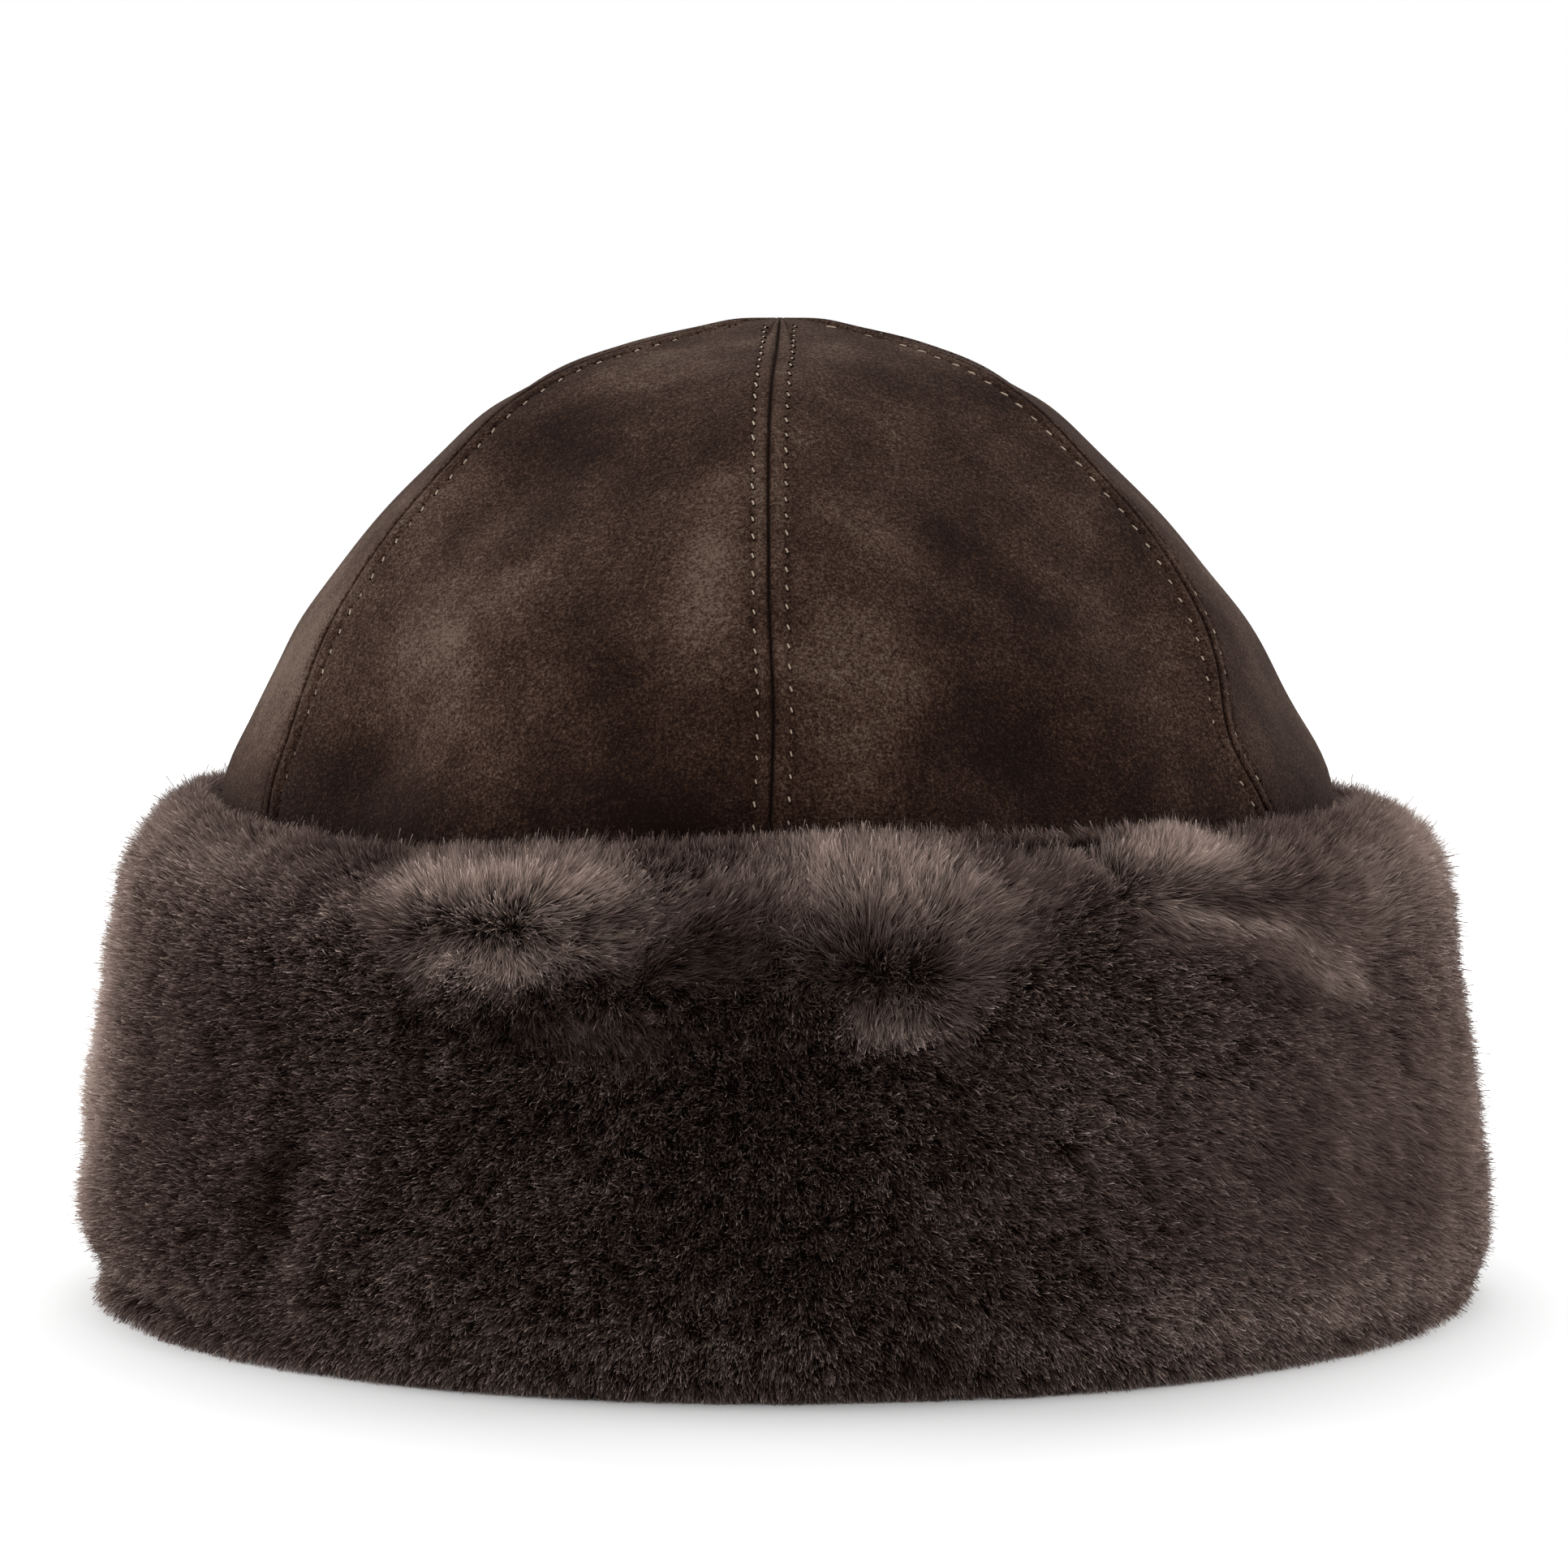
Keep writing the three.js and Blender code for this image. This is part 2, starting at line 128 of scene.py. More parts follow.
# The cuff's outer profile: height as a share of CUFF_HEIGHT, thickness of CUFF_THICKNESS.
CUFF_PROFILE = [
    (0.0, 0.70),
    (0.02, 0.90),
    (0.08, 0.975),
    (0.18, 1.0),
    (0.31, 0.965),
    (0.47, 0.89),
    (0.62, 0.805),
    (0.77, 0.71),
    (0.85, 0.60),
    (0.925, 0.43),
    (0.975, 0.25),
    (0.99, 0.12),
    (0.91, 0.0),
]

# Bulges and creases of the fur, as CROWN_DENTS but with shares of the cuff's sizes.
FUR_FOLDS = [
    # azimuth, width, height, span, depth, slant
    (-24, 13, 0.87, 0.06, -0.12, 0),
    (-22, 8, 0.845, 0.03, 0.08, 0),
    (-21, 9, 0.75, 0.06, -0.10, 0),
    (-21, 10, 0.65, 0.04, 0.06, 0),
    (7, 13, 0.86, 0.06, -0.13, 0),
    (7, 6, 0.78, 0.04, 0.10, -90),
    (10, 7, 0.69, 0.06, -0.10, 0),
    (10, 8, 0.59, 0.04, 0.07, 0),
    (36, 12, 0.90, 0.05, -0.10, 0),
    (38, 9, 0.885, 0.03, 0.08, 0),
    (38, 12, 0.80, 0.06, -0.07, 0),
    (64, 10, 0.90, 0.08, -0.07, 0),
    (60, 3, 0.74, 0.07, 0.08, 0),
    (-38, 4, 0.97, 0.08, 0.10, 0),
    (22, 4, 0.96, 0.08, 0.10, 0),
    (30, 4, 0.98, 0.07, 0.15, 0),
    (46, 3.5, 0.98, 0.06, 0.10, 0),
    (88, 22, 0.86, 0.10, -0.11, 0),
    (-29, 2, 0.62, 0.12, 0.08, 0),
    (-41, 2.5, 0.28, 0.13, 0.12, 15),
    (-68, 32, 0.03, 0.08, 0.27, 0),
    (66, 28, 0.03, 0.08, 0.07, 0),
    (82, 32, 0.32, 0.35, -0.05, 0),
    (12, 5, 0.06, 0.05, 0.10, 0),
    (172, 13, 0.91, 0.08, -0.12, 0),
    (170, 10, 0.80, 0.035, 0.09, 0),
    (-138, 10, 0.86, 0.10, -0.11, 0),
    (126, 11, 0.85, 0.10, -0.10, 0),
    (108, 3, 0.50, 0.18, 0.12, -10),
]

# Places where the cuff's rim sags, as shares of CUFF_HEIGHT.
RIM_SAGS = [
    # azimuth, width, height, span, depth, slant
    (-32, 24, 1.02, 0.13, 0.040, 0),
    (56, 16, 1.02, 0.13, 0.022, 0),
    (95, 28, 1.02, 0.13, 0.042, 0),
    (-55, 20, 1.02, 0.13, 0.018, 0),
]

# Lines along which the fur parts and lies away to both sides. Each runs through its points of
# azimuth and share of CUFF_HEIGHT. above and below are how far the fur lies away over and under
# the line, in millimetres, and the last column is painted light: how much lighter the fur looks
# there.
PARTINGS = [
    # points, above, below, lay, tone
    (((-28.9, 0.838), (-25.5, 0.846), (-21.8, 0.852)), 15, 9, 1.1, 0.14),
    (((9.0, 0.765), (12.4, 0.748)), 21, 9, 1.1, 0.10),
    (((1.5, 0.795), (3.5, 0.79)), 3, 6, 0.45, 0.16),
    (((33.6, 0.896), (39.7, 0.907), (42.8, 0.900), (46.5, 0.879), (55.7, 0.828), (59.7, 0.739)),
     12, 7, 0.9, 0.12),
    (((26.0, 0.44), (31.0, 0.39)), 6, 4, 0.6, 0.10),
    (((160.0, 0.85), (167.0, 0.82), (171.0, 0.76)), 13, 8, 0.9, 0.16),
    (((-150.0, 0.84), (-141.0, 0.86), (-133.0, 0.83)), 12, 7, 0.8, 0.14),
    (((-166.0, 0.74), (-163.0, 0.72)), 7, 6, 0.7, 0.12),
    (((118.0, 0.80), (124.0, 0.83), (133.0, 0.84)), 12, 7, 0.9, 0.16),
    (((140.0, 0.70), (143.0, 0.68)), 6, 6, 0.7, 0.10),
    (((-112.0, 0.86), (-103.0, 0.83), (-99.0, 0.77)), 12, 7, 0.9, 0.14),
    (((-84.0, 0.88), (-78.0, 0.87)), 8, 6, 0.7, 0.08),
    (((84.0, 0.84), (92.0, 0.87), (101.0, 0.85)), 11, 7, 0.8, 0.12),
]

# Places where the fur is combed one way: azimuth and width in degrees, height and span as shares
# of CUFF_HEIGHT, and how far it leans to the right and up, as shares of its own height.
FUR_LAYS = [
    # azimuth, width, height, span, right, up
    (-17, 6, 0.92, 0.06, 0.9, 0.7),
    (-14, 5, 0.82, 0.06, 1.5, -0.1),
    (-20, 3.5, 0.78, 0.04, 0.8, -0.3),
    (-8, 6, 0.87, 0.06, 1.1, 0.5),
    (-1, 5, 0.87, 0.06, 0.9, 0.7),
    (-5, 8, 0.77, 0.04, 1.0, 0.2),
    (-14, 12, 0.66, 0.05, 0.7, -0.5),
    (9, 9, 0.93, 0.06, 0.1, 0.8),
    (19, 4, 0.85, 0.08, 1.0, 0.3),
    (27, 5, 0.92, 0.05, 0.5, 0.5),
    (42, 7, 0.90, 0.04, 0.9, 0.3),
    (40, 9, 0.83, 0.05, 1.1, -0.9),
    (50, 6, 0.76, 0.08, 0.9, -0.9),
    (66, 10, 0.86, 0.12, 0.8, 0.4),
    (50, 30, 0.40, 0.30, 0.4, -0.3),
    (-60, 30, 0.50, 0.40, 0.1, 0.1),
    (66, 22, 0.40, 0.35, 0.1, -0.3),
    (-80, 22, 0.50, 0.40, 0.0, 0.25),
    (110, 25, 0.40, 0.30, 0.4, -0.3),
    (175, 25, 0.45, 0.30, -0.4, -0.3),
    (-120, 30, 0.40, 0.30, -0.35, -0.25),
    (148, 9, 0.90, 0.07, 0.8, 0.5),
    (-176, 10, 0.90, 0.07, -0.9, 0.4),
    (-122, 8, 0.88, 0.07, 0.9, 0.3),
    (110, 7, 0.88, 0.07, -0.8, 0.4),
]

# Lighter and darker places of the fur and of the suede, with columns as in CROWN_DENTS. Most of
# the fur's are painted light and shade: painted light on its tufts and sides, painted shade across
# its front and in its creases. The suede's are patches of its nap with painted light and shade:
# painted shade above the cuff and in its dents, painted sheen on its sides.
FUR_TONES_AND_SHADING = [
    # azimuth, width, height, span, tone, slant
    # Painted light on the tufts near the rim, and painted shade in the partings between them.
    (-29, 6, 0.905, 0.05, 0.50, 0),
    (-20, 7, 0.93, 0.055, 0.52, 0),
    (-21.5, 3.5, 0.85, 0.025, 0.30, 0),
    (-14, 6, 0.90, 0.05, 0.26, 0),
    (-25.5, 4.5, 0.775, 0.038, 0.62, 0),
    (-21.0, 3.0, 0.765, 0.035, 0.30, 0),
    (-17, 5, 0.79, 0.03, 0.36, 0),
    (-12, 4, 0.815, 0.025, 0.14, 0),
    (-5, 6, 0.90, 0.06, 0.10, 0),
    (-6, 8, 0.79, 0.03, -0.14, 0),
    (5, 6, 0.945, 0.065, 0.44, 0),
    (13, 6, 0.93, 0.065, 0.46, 0),
    (16, 5, 0.85, 0.05, 0.18, 0),
    (8, 5, 0.87, 0.045, 0.22, 0),
    (2, 5, 0.88, 0.03, 0.10, 0),
    (11, 2.5, 0.765, 0.025, -0.12, 0),
    (11, 4.5, 0.675, 0.035, 0.34, 0),
    (17.5, 4, 0.75, 0.05, 0.16, 0),
    (4, 5, 0.725, 0.045, -0.10, 0),
    (26, 4, 0.955, 0.04, 0.24, 0),
    (35, 6, 0.945, 0.035, 0.46, 0),
    (40, 6, 0.955, 0.05, 0.56, 0),
    (30, 1.5, 0.97, 0.03, -0.15, 0),
    (46, 1.5, 0.985, 0.02, -0.12, 0),
    (40.5, 4, 0.845, 0.035, 0.58, -200),
    (53, 4, 0.72, 0.06, 0.50, -60),
    (44, 6, 0.875, 0.012, -0.30, -30),
    (61, 3, 0.80, 0.06, -0.16, 0),
    (45, 10, 0.70, 0.05, -0.10, 0),
    (66, 9, 0.86, 0.12, 0.32, 0),
    (-62, 12, 0.92, 0.07, 0.32, 0),
    (-38, 5, 0.85, 0.03, 0.08, 0),
    # Painted shade: a darker band across the front of the cuff, and darker lines in its creases and
    # at its front seam.
    (-10, 20, 0.51, 0.08, -0.10, 0),
    (-45.5, 6, 0.67, 0.07, -0.12, 0),
    (-29, 1.4, 0.62, 0.10, -0.20, 0),
    (-42, 1.6, 0.29, 0.15, -0.24, 15),
    (0.6, 0.6, 0.28, 0.34, -0.18, 0),
    (-6.7, 1.0, 0.307, 0.015, -0.25, 0),
    (12.3, 4, 0.07, 0.04, -0.28, 0),
    (26, 6, 0.53, 0.09, 0.14, 0),
    (52, 26, 0.34, 0.24, 0.12, 0),
    (42, 22, 0.10, 0.08, 0.24, 0),
    (-5, 25, 0.08, 0.07, 0.20, 0),
    # Painted light on the cuff's left and right sides.
    (-84, 12, 0.45, 0.45, 0.74, 0),
    (-52, 14, 0.42, 0.30, -0.18, 0),
    (82, 14, 0.40, 0.40, 0.20, 0),
    (84, 10, 0.88, 0.10, 0.24, 0),
    (180, 18, 0.42, 0.14, -0.10, 0),
    (150, 8, 0.50, 0.12, 0.12, 0),
    (-120, 14, 0.35, 0.16, 0.12, 0),
    # Painted light on the tufts near the rim at the back.
    (150, 10, 0.90, 0.06, 0.22, 0),
    (165, 8, 0.93, 0.05, 0.24, 0),
    (-178, 9, 0.86, 0.05, 0.18, 0),
    (-158, 8, 0.93, 0.05, 0.20, 0),
    (-140, 10, 0.93, 0.05, 0.26, 0),
    (-121, 9, 0.87, 0.06, 0.18, 0),
    (-104, 8, 0.93, 0.05, 0.26, 0),
    (122, 9, 0.93, 0.05, 0.26, 0),
    (134, 6, 0.76, 0.05, 0.16, 0),
    (104, 9, 0.90, 0.06, 0.20, 0),
    (92, 12, 0.96, 0.08, 0.22, 0),
    (-168, 5, 0.68, 0.04, 0.16, 0),
]
CROWN_TONES_AND_SHADING = [
    # azimuth, width, height, span, tone, slant
    # Painted shade in a band round the crown just above the cuff.
    (0, 80, 0.51, 0.07, -0.44, 0),
    (180, 80, 0.51, 0.07, -0.36, 0),
    # Patches of the nap, with painted light on the crown's bulges and painted shade in a hollow.
    (-6.7, 3.5, 0.80, 0.045, 0.62, 0),
    (-8, 4, 0.74, 0.05, 0.35, 0),
    (-39, 9, 0.705, 0.055, 0.42, 0),
    (-29, 20, 0.945, 0.03, 0.45, 0),
    (11, 5, 0.66, 0.09, 0.34, 0),
    (34, 16, 0.60, 0.10, -0.16, 0),
    (12, 6, 0.78, 0.06, 0.16, 0),
    # Painted sheen on the crown's left and right sides.
    (-74, 14, 0.67, 0.12, 0.92, 0),
    (79, 8, 0.75, 0.06, 0.40, 0),
    (-63, 6, 0.66, 0.08, 0.36, 0),
    (48, 6, 0.80, 0.05, 0.20, 0),
    # Painted shade in the crown's dents, creases and hollows.
    (-39, 11, 0.882, 0.025, -0.42, 0),
    (-7.5, 4, 0.881, 0.025, -0.42, 0),
    (-24, 6, 0.717, 0.03, -0.30, 0),
    (-50, 7, 0.56, 0.04, -0.50, 0),
    (-14, 12, 0.53, 0.03, -0.45, 0),
    (32, 14, 0.945, 0.025, -0.36, 0),
    (31, 5, 0.75, 0.08, -0.42, -140),
    (26, 12, 0.595, 0.045, -0.48, 0),
    (64, 4, 0.648, 0.06, -0.42, 0),
    (170, 12, 0.75, 0.08, 0.34, 0),
    (-150, 12, 0.66, 0.08, -0.36, 0),
    (140, 10, 0.82, 0.06, 0.30, 0),
    (110, 10, 0.68, 0.08, -0.36, 0),
    (-115, 10, 0.80, 0.06, -0.30, 0),
    (-165, 10, 0.86, 0.04, 0.30, 0),
]


def turn_between(start, end):
    """The turn from one azimuth to another, from -180 to 180 degrees."""
    return (end - start + 180.0) % 360.0 - 180.0


def dent_at(table, azimuth, height):
    """The sum of a table's dents at some places."""
    total = np.zeros(np.broadcast(azimuth, height).shape)
    for middle, width, level, span, depth, slant in table:
        across = turn_between(middle + slant * (height - level), azimuth) / width
        along = (height - level) / span
        total += depth * np.exp(-across * across - along * along)
    return total


def hashed(cells, seed):
    """Numbers from 0 to 1 that look random, one for each row of whole numbers."""
    mixed = (cells[..., 0] * 374761393 + cells[..., 1] * 668265263
             + cells[..., 2] * 2147483647 + seed * 974711) & 0xFFFFFFFF
    mixed = ((mixed ^ (mixed >> 13)) * 1274126177) & 0xFFFFFFFF
    mixed = ((mixed ^ (mixed >> 16)) * 2246822519) & 0xFFFFFFFF
    return (mixed ^ (mixed >> 15)) / 4294967295.0


def noise(points, scale, seed):
    """Smooth noise from -1 to 1 at some points, with a grain of the given scale."""
    at = points / scale
    cell = np.floor(at).astype(np.int64)
    part = at - cell
    part = part * part * (3.0 - 2.0 * part)
    total = np.zeros(at.shape[:-1])
    for dx in (0, 1):
        for dy in (0, 1):
            for dz in (0, 1):
                weight = np.abs(1 - dx - part[..., 0]) * np.abs(1 - dy - part[..., 1])
                weight = weight * np.abs(1 - dz - part[..., 2])
                total += weight * hashed(cell + np.array((dx, dy, dz)), seed)
    return total * 2.0 - 1.0


def noise_pair(points, scale, seed):
    """Two smooth noises at some points, for a direction that lies along a surface."""
    return np.stack([noise(points, scale, seed), noise(points, scale, seed + 1)], -1)


def hermite(knots, values, at):
    """A smooth curve through a table's rows, at some places along it."""
    slopes = np.gradient(values, knots, axis=0)
    i = np.clip(np.searchsorted(knots, at, side="right") - 1, 0, len(knots) - 2)
    step = (knots[i + 1] - knots[i])[..., None]
    t = (at - knots[i])[..., None] / step
    a, b = values[i], values[i + 1]
    return ((2 * t**3 - 3 * t**2 + 1) * a + (t**3 - 2 * t**2 + t) * step * slopes[i]
            + (3 * t**2 - 2 * t**3) * b + (t**3 - t**2) * step * slopes[i + 1])


def lengths_along(path):
    """The distance along a path at each of its points."""
    steps = np.linalg.norm(np.diff(path, axis=0), axis=1)
    return np.concatenate([[0.0], np.cumsum(steps)])


def evened(knots, values, path, count):
    """Rows of a smooth curve, evenly spaced along its path. path gives the path's two columns."""
    fine = np.linspace(knots[0], knots[-1], 2000)
    rows = hermite(knots, values, fine)
    along = lengths_along(rows[:, path])
    at = np.interp(np.linspace(0, along[-1], count), along, fine)
    return hermite(knots, values, at)


def unit(vectors):
    """The same directions with a length of 1."""
    return vectors / np.maximum(np.linalg.norm(vectors, axis=-1, keepdims=True), 1e-9)


def to_space(azimuth, outwards):
    """Directions in space from directions of radius and height at some azimuths."""
    angle = np.radians(azimuth)
    return np.stack([np.sin(angle) * outwards[..., 0], -np.cos(angle) * outwards[..., 0],
                     outwards[..., 1]], -1)


def to_the_right(azimuth):
    """The level directions around the hat at some azimuths."""
    angle = np.radians(azimuth)
    return np.stack([np.cos(angle), np.sin(angle), np.zeros_like(azimuth)], -1)


def section_share(azimuth, flat):
    """The crown's radius as a share of that at the seams, where its gores are partly flat."""
    to_seam = azimuth % GORE_ANGLE - GORE_ANGLE / 2
    straight = math.cos(math.radians(GORE_ANGLE / 2)) / np.cos(np.radians(to_seam))
    return 1.0 + (straight - 1.0) * flat


def place(azimuth, radius, height, lean=0.0):
    """Points in millimetres from azimuths, radii and heights."""
    up_to_top = np.clip(1 - height / CROWN_HEIGHT, 0.0, 1.0)
    angle = np.radians(azimuth + SEAM_TWIST * up_to_top ** TWIST_POWER)
    x = radius * np.sin(angle) + lean + AXIS[0]
    y = -OVAL * radius * np.cos(angle) + AXIS[1]
    return np.stack(np.broadcast_arrays(x, y, height), axis=-1)


def make_mesh(name, points, faces, material, smooth=True):
    """A new piece from points in millimetres and faces of three or four corners."""
    mesh = bpy.data.meshes.new(name)
    faces = np.asarray(faces)
    corners = faces.shape[1]
    mesh.vertices.add(len(points))
    mesh.vertices.foreach_set("co", (np.asarray(points) * MM).astype(np.float32).ravel())
    mesh.loops.add(faces.size)
    mesh.loops.foreach_set("vertex_index", faces.astype(np.int32).ravel())
    mesh.polygons.add(len(faces))
    mesh.polygons.foreach_set("loop_start", np.arange(0, faces.size, corners, dtype=np.int32))
    mesh.polygons.foreach_set("loop_total", np.full(len(faces), corners, dtype=np.int32))
    mesh.polygons.foreach_set("use_smooth", np.full(len(faces), smooth))
    mesh.update(calc_edges=True)
    mesh.validate()
    mesh.materials.append(material)
    piece = bpy.data.objects.new(name, mesh)
    bpy.context.scene.collection.objects.link(piece)
    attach(piece, "root")
    return piece


def grid_faces(rows, columns, closed=False):
    """Faces of a grid whose points run row by row."""
    across = columns if closed else columns - 1
    i, j = np.meshgrid(np.arange(rows - 1), np.arange(across), indexing="ij")
    after = (j + 1) % columns
    return np.stack([i * columns + j, i * columns + after,
                     (i + 1) * columns + after, (i + 1) * columns + j], axis=-1).reshape(-1, 4)


def paint(piece, name, values):
    """A number for each point, which a material can read."""
    layer = piece.data.attributes.new(name, "FLOAT", "POINT")
    layer.data.foreach_set("value", np.asarray(values, dtype=np.float32).ravel())


# Materials.


class Nodes:
    """A short way to write a material's nodes. Its values may be numbers or sockets."""

    def __init__(self, name, roughness=0.8):
        self.material = bpy.data.materials.new(name)
        self.material.use_nodes = True
        self.tree = self.material.node_tree
        self.shader = self.tree.nodes["Principled BSDF"]
        self.output = self.tree.nodes["Material Output"]
        self.shader.inputs["Roughness"].default_value = roughness

    def add(self, kind, values=None, **settings):
        """A new node with some input values and settings."""
        node = self.tree.nodes.new(kind)
        for key, value in settings.items():
            setattr(node, key, value)
        for key, value in (values or {}).items():
            if isinstance(value, bpy.types.NodeSocket):
                self.tree.links.new(value, node.inputs[key])
            else:
                node.inputs[key].default_value = value
        return node

    def link(self, socket, node, key):
        self.tree.links.new(socket, node.inputs[key])

    def attribute(self, name):
        return self.add("ShaderNodeAttribute", attribute_name=name).outputs["Fac"]

    def noise(self, scale, detail, roughness, vector):
        values = {"Scale": scale, "Detail": detail, "Roughness": roughness, "Vector": vector}
        return self.add("ShaderNodeTexNoise", values).outputs["Fac"]

    def math(self, operation, a, b, clamp=False):
        node = self.add("ShaderNodeMath", {0: a, 1: b}, operation=operation)
        node.use_clamp = clamp
        return node.outputs[0]

    def ramp(self, factor, stops):
        """A colour from a ramp with stops of position and colour."""
        node = self.add("ShaderNodeValToRGB", {"Fac": factor})
        band = node.color_ramp
        band.elements[0].position, band.elements[0].color = stops[0][0], (*stops[0][1], 1)
        band.elements[1].position, band.elements[1].color = stops[-1][0], (*stops[-1][1], 1)
        for position, colour in stops[1:-1]:
            band.elements.new(position).color = (*colour, 1)
        return node.outputs["Color"]

    def bump(self, height, distance, strength, normal=None):
        values = {"Height": height, "Distance": distance, "Strength": strength}
        if normal is not None:
            values["Normal"] = normal
        return self.add("ShaderNodeBump", values).outputs["Normal"]


def suede_material():
    """Suede with broad and small worn places and a short nap. The attribute it reads adds patches of
    the nap and painted light and shade: painted shade above the cuff, in dents and in the seams'
    grooves, painted sheen on the sides and painted highlights beside the seams.
    """
    n = Nodes("suede", roughness=0.95)
    where = n.add("ShaderNodeTexCoord").outputs["Object"]
    tone_and_shading = n.attribute("tone_and_shading")
    broad = n.noise(28.0, 3.0, 0.55, where)
    patch = n.noise(85.0, 4.0, 0.6, where)
    nap = n.noise(1250.0, 2.0, 0.7, where)
    grain = n.noise(2300.0, 2.0, 0.8, where)
    mixed = 0.43
    for part, weight in ((broad, 1.0), (patch, 0.7), (nap, 1.0), (grain, 1.9)):
        mixed = n.math("ADD", mixed, n.math("MULTIPLY", n.math("SUBTRACT", part, 0.5), weight))
    # Patches of the nap, with painted light and shade from the crown's table and the seams.
    mixed = n.math("ADD", mixed, n.math("MULTIPLY", tone_and_shading, 0.5), clamp=True)
    colour = n.ramp(mixed, [
        (0.0, (0.0062, 0.0020, 0.0010)),
        (0.35, (0.0222, 0.0096, 0.0057)),
        (0.65, (0.0510, 0.0288, 0.0198)),
        (1.0, (0.1150, 0.0805, 0.0615)),
    ])
    n.link(colour, n.shader, "Base Color")
    n.shader.inputs["Specular IOR Level"].default_value = 0.06
    n.shader.inputs["Sheen Weight"].default_value = 0.02
    n.shader.inputs["Sheen Roughness"].default_value = 0.55
    n.shader.inputs["Sheen Tint"].default_value = (0.75, 0.62, 0.55, 1.0)
    fine = n.bump(grain, 0.0004, 0.7)
    n.link(n.bump(nap, 0.0007, 0.5, fine), n.shader, "Normal")
    return n.material


# Colours of the wisps from dark to light ones: along their bodies, and at their ends.
FUR_BODY = [
    (0.0, (0.0200, 0.0098, 0.0080)),
    (0.25, (0.0650, 0.0345, 0.0285)),
    (0.5, (0.1400, 0.0840, 0.0700)),
    (0.75, (0.2700, 0.1850, 0.1540)),
    (1.0, (0.4800, 0.3500, 0.2960)),
]
FUR_ENDS = [
    (0.0, (0.064, 0.040, 0.033)),
    (0.4, (0.290, 0.213, 0.186)),
    (1.0, (0.750, 0.625, 0.560)),
]
# The roots' own darker colour, with painted shade deep in the fur.
FUR_ROOT_AND_SHADE = (0.0020, 0.0012, 0.0010, 1.0)


def fur_material(name):
    """Fur whose colour runs from root to tip along v, and from dark to light wisps along u. Painted
    shade deep in the fur darkens the roots.
    """
    n = Nodes(name, roughness=1.0)
    uv = n.add("ShaderNodeUVMap", uv_map="OFBake").outputs["UV"]
    parts = n.add("ShaderNodeSeparateXYZ", {"Vector": uv})
    across, along = parts.outputs["X"], parts.outputs["Y"]
    # Painted shade darkens the wisps towards their roots, over their own darker roots.
    depth = n.math("MINIMUM", n.math("ADD", n.math("POWER", along, 1.4), 0.16), 1.0)
    shaded = n.add("ShaderNodeMix", {"Factor": depth}, data_type="RGBA")
    shaded.inputs["A"].default_value = FUR_ROOT_AND_SHADE
    n.link(n.ramp(across, FUR_BODY), shaded, "B")
    end = n.math("MULTIPLY", n.math("POWER", along, 3.0), 0.85)
    ended = n.add("ShaderNodeMix", {"Factor": end}, data_type="RGBA")
    n.link(shaded.outputs["Result"], ended, "A")
    n.link(n.ramp(across, FUR_ENDS), ended, "B")
    colour = ended.outputs["Result"]
    diffuse = n.add("ShaderNodeBsdfDiffuse", {"Color": colour})
    through = n.add("ShaderNodeBsdfTranslucent", {"Color": colour})
    mixed = n.add("ShaderNodeMixShader", {"Fac": 0.4})
    n.link(diffuse.outputs[0], mixed, 1)
    n.link(through.outputs[0], mixed, 2)
    n.link(mixed.outputs[0], n.output, "Surface")
    return n.material


def shaded_bed_material():
    """The underfur that shows between the wisps, painted dark as shade deep in the fur."""
    n = Nodes("fur_bed", roughness=1.0)
    where = n.add("ShaderNodeTexCoord").outputs["Object"]
    colour = n.ramp(n.noise(700.0, 3.0, 0.7, where), [
        (0.3, (0.0035, 0.0022, 0.0017)), (0.75, (0.012, 0.0080, 0.0062))])
    n.link(colour, n.shader, "Base Color")
    n.shader.inputs["Specular IOR Level"].default_value = 0.0
    n.link(n.bump(n.noise(900.0, 3.0, 0.7, where), 0.0008, 0.8), n.shader, "Normal")
    return n.material


def thread_material():
    """Pale waxed thread."""
    n = Nodes("thread", roughness=0.6)
    where = n.add("ShaderNodeTexCoord").outputs["Object"]
    colour = n.ramp(n.noise(2400.0, 2.0, 0.6, where), [
        (0.25, (0.22, 0.16, 0.11)), (0.75, (0.50, 0.40, 0.30))])
    n.link(colour, n.shader, "Base Color")
    n.link(n.bump(n.noise(3500.0, 1.0, 0.5, where), 0.0001, 0.5), n.shader, "Normal")
    return n.material


def hole_material():
    """The shade in a needle hole."""
    n = Nodes("needle_hole", roughness=1.0)
    where = n.add("ShaderNodeTexCoord").outputs["Object"]
    colour = n.ramp(n.noise(2000.0, 1.0, 0.5, where), [
        (0.3, (0.002, 0.001, 0.0008)), (0.7, (0.006, 0.0035, 0.0028))])
    n.link(colour, n.shader, "Base Color")
    n.shader.inputs["Specular IOR Level"].default_value = 0.0
    return n.material


SUEDE = suede_material()
THREAD = thread_material()
HOLE = hole_material()
FUR = fur_material("fur")
FLEECE = fur_material("fleece")
SHADED_BED = shaded_bed_material()


# The crown.

CROWN_KNOTS = lengths_along(CROWN_SECTIONS[:, :2] * (CROWN_HEIGHT, CROWN_RADIUS))


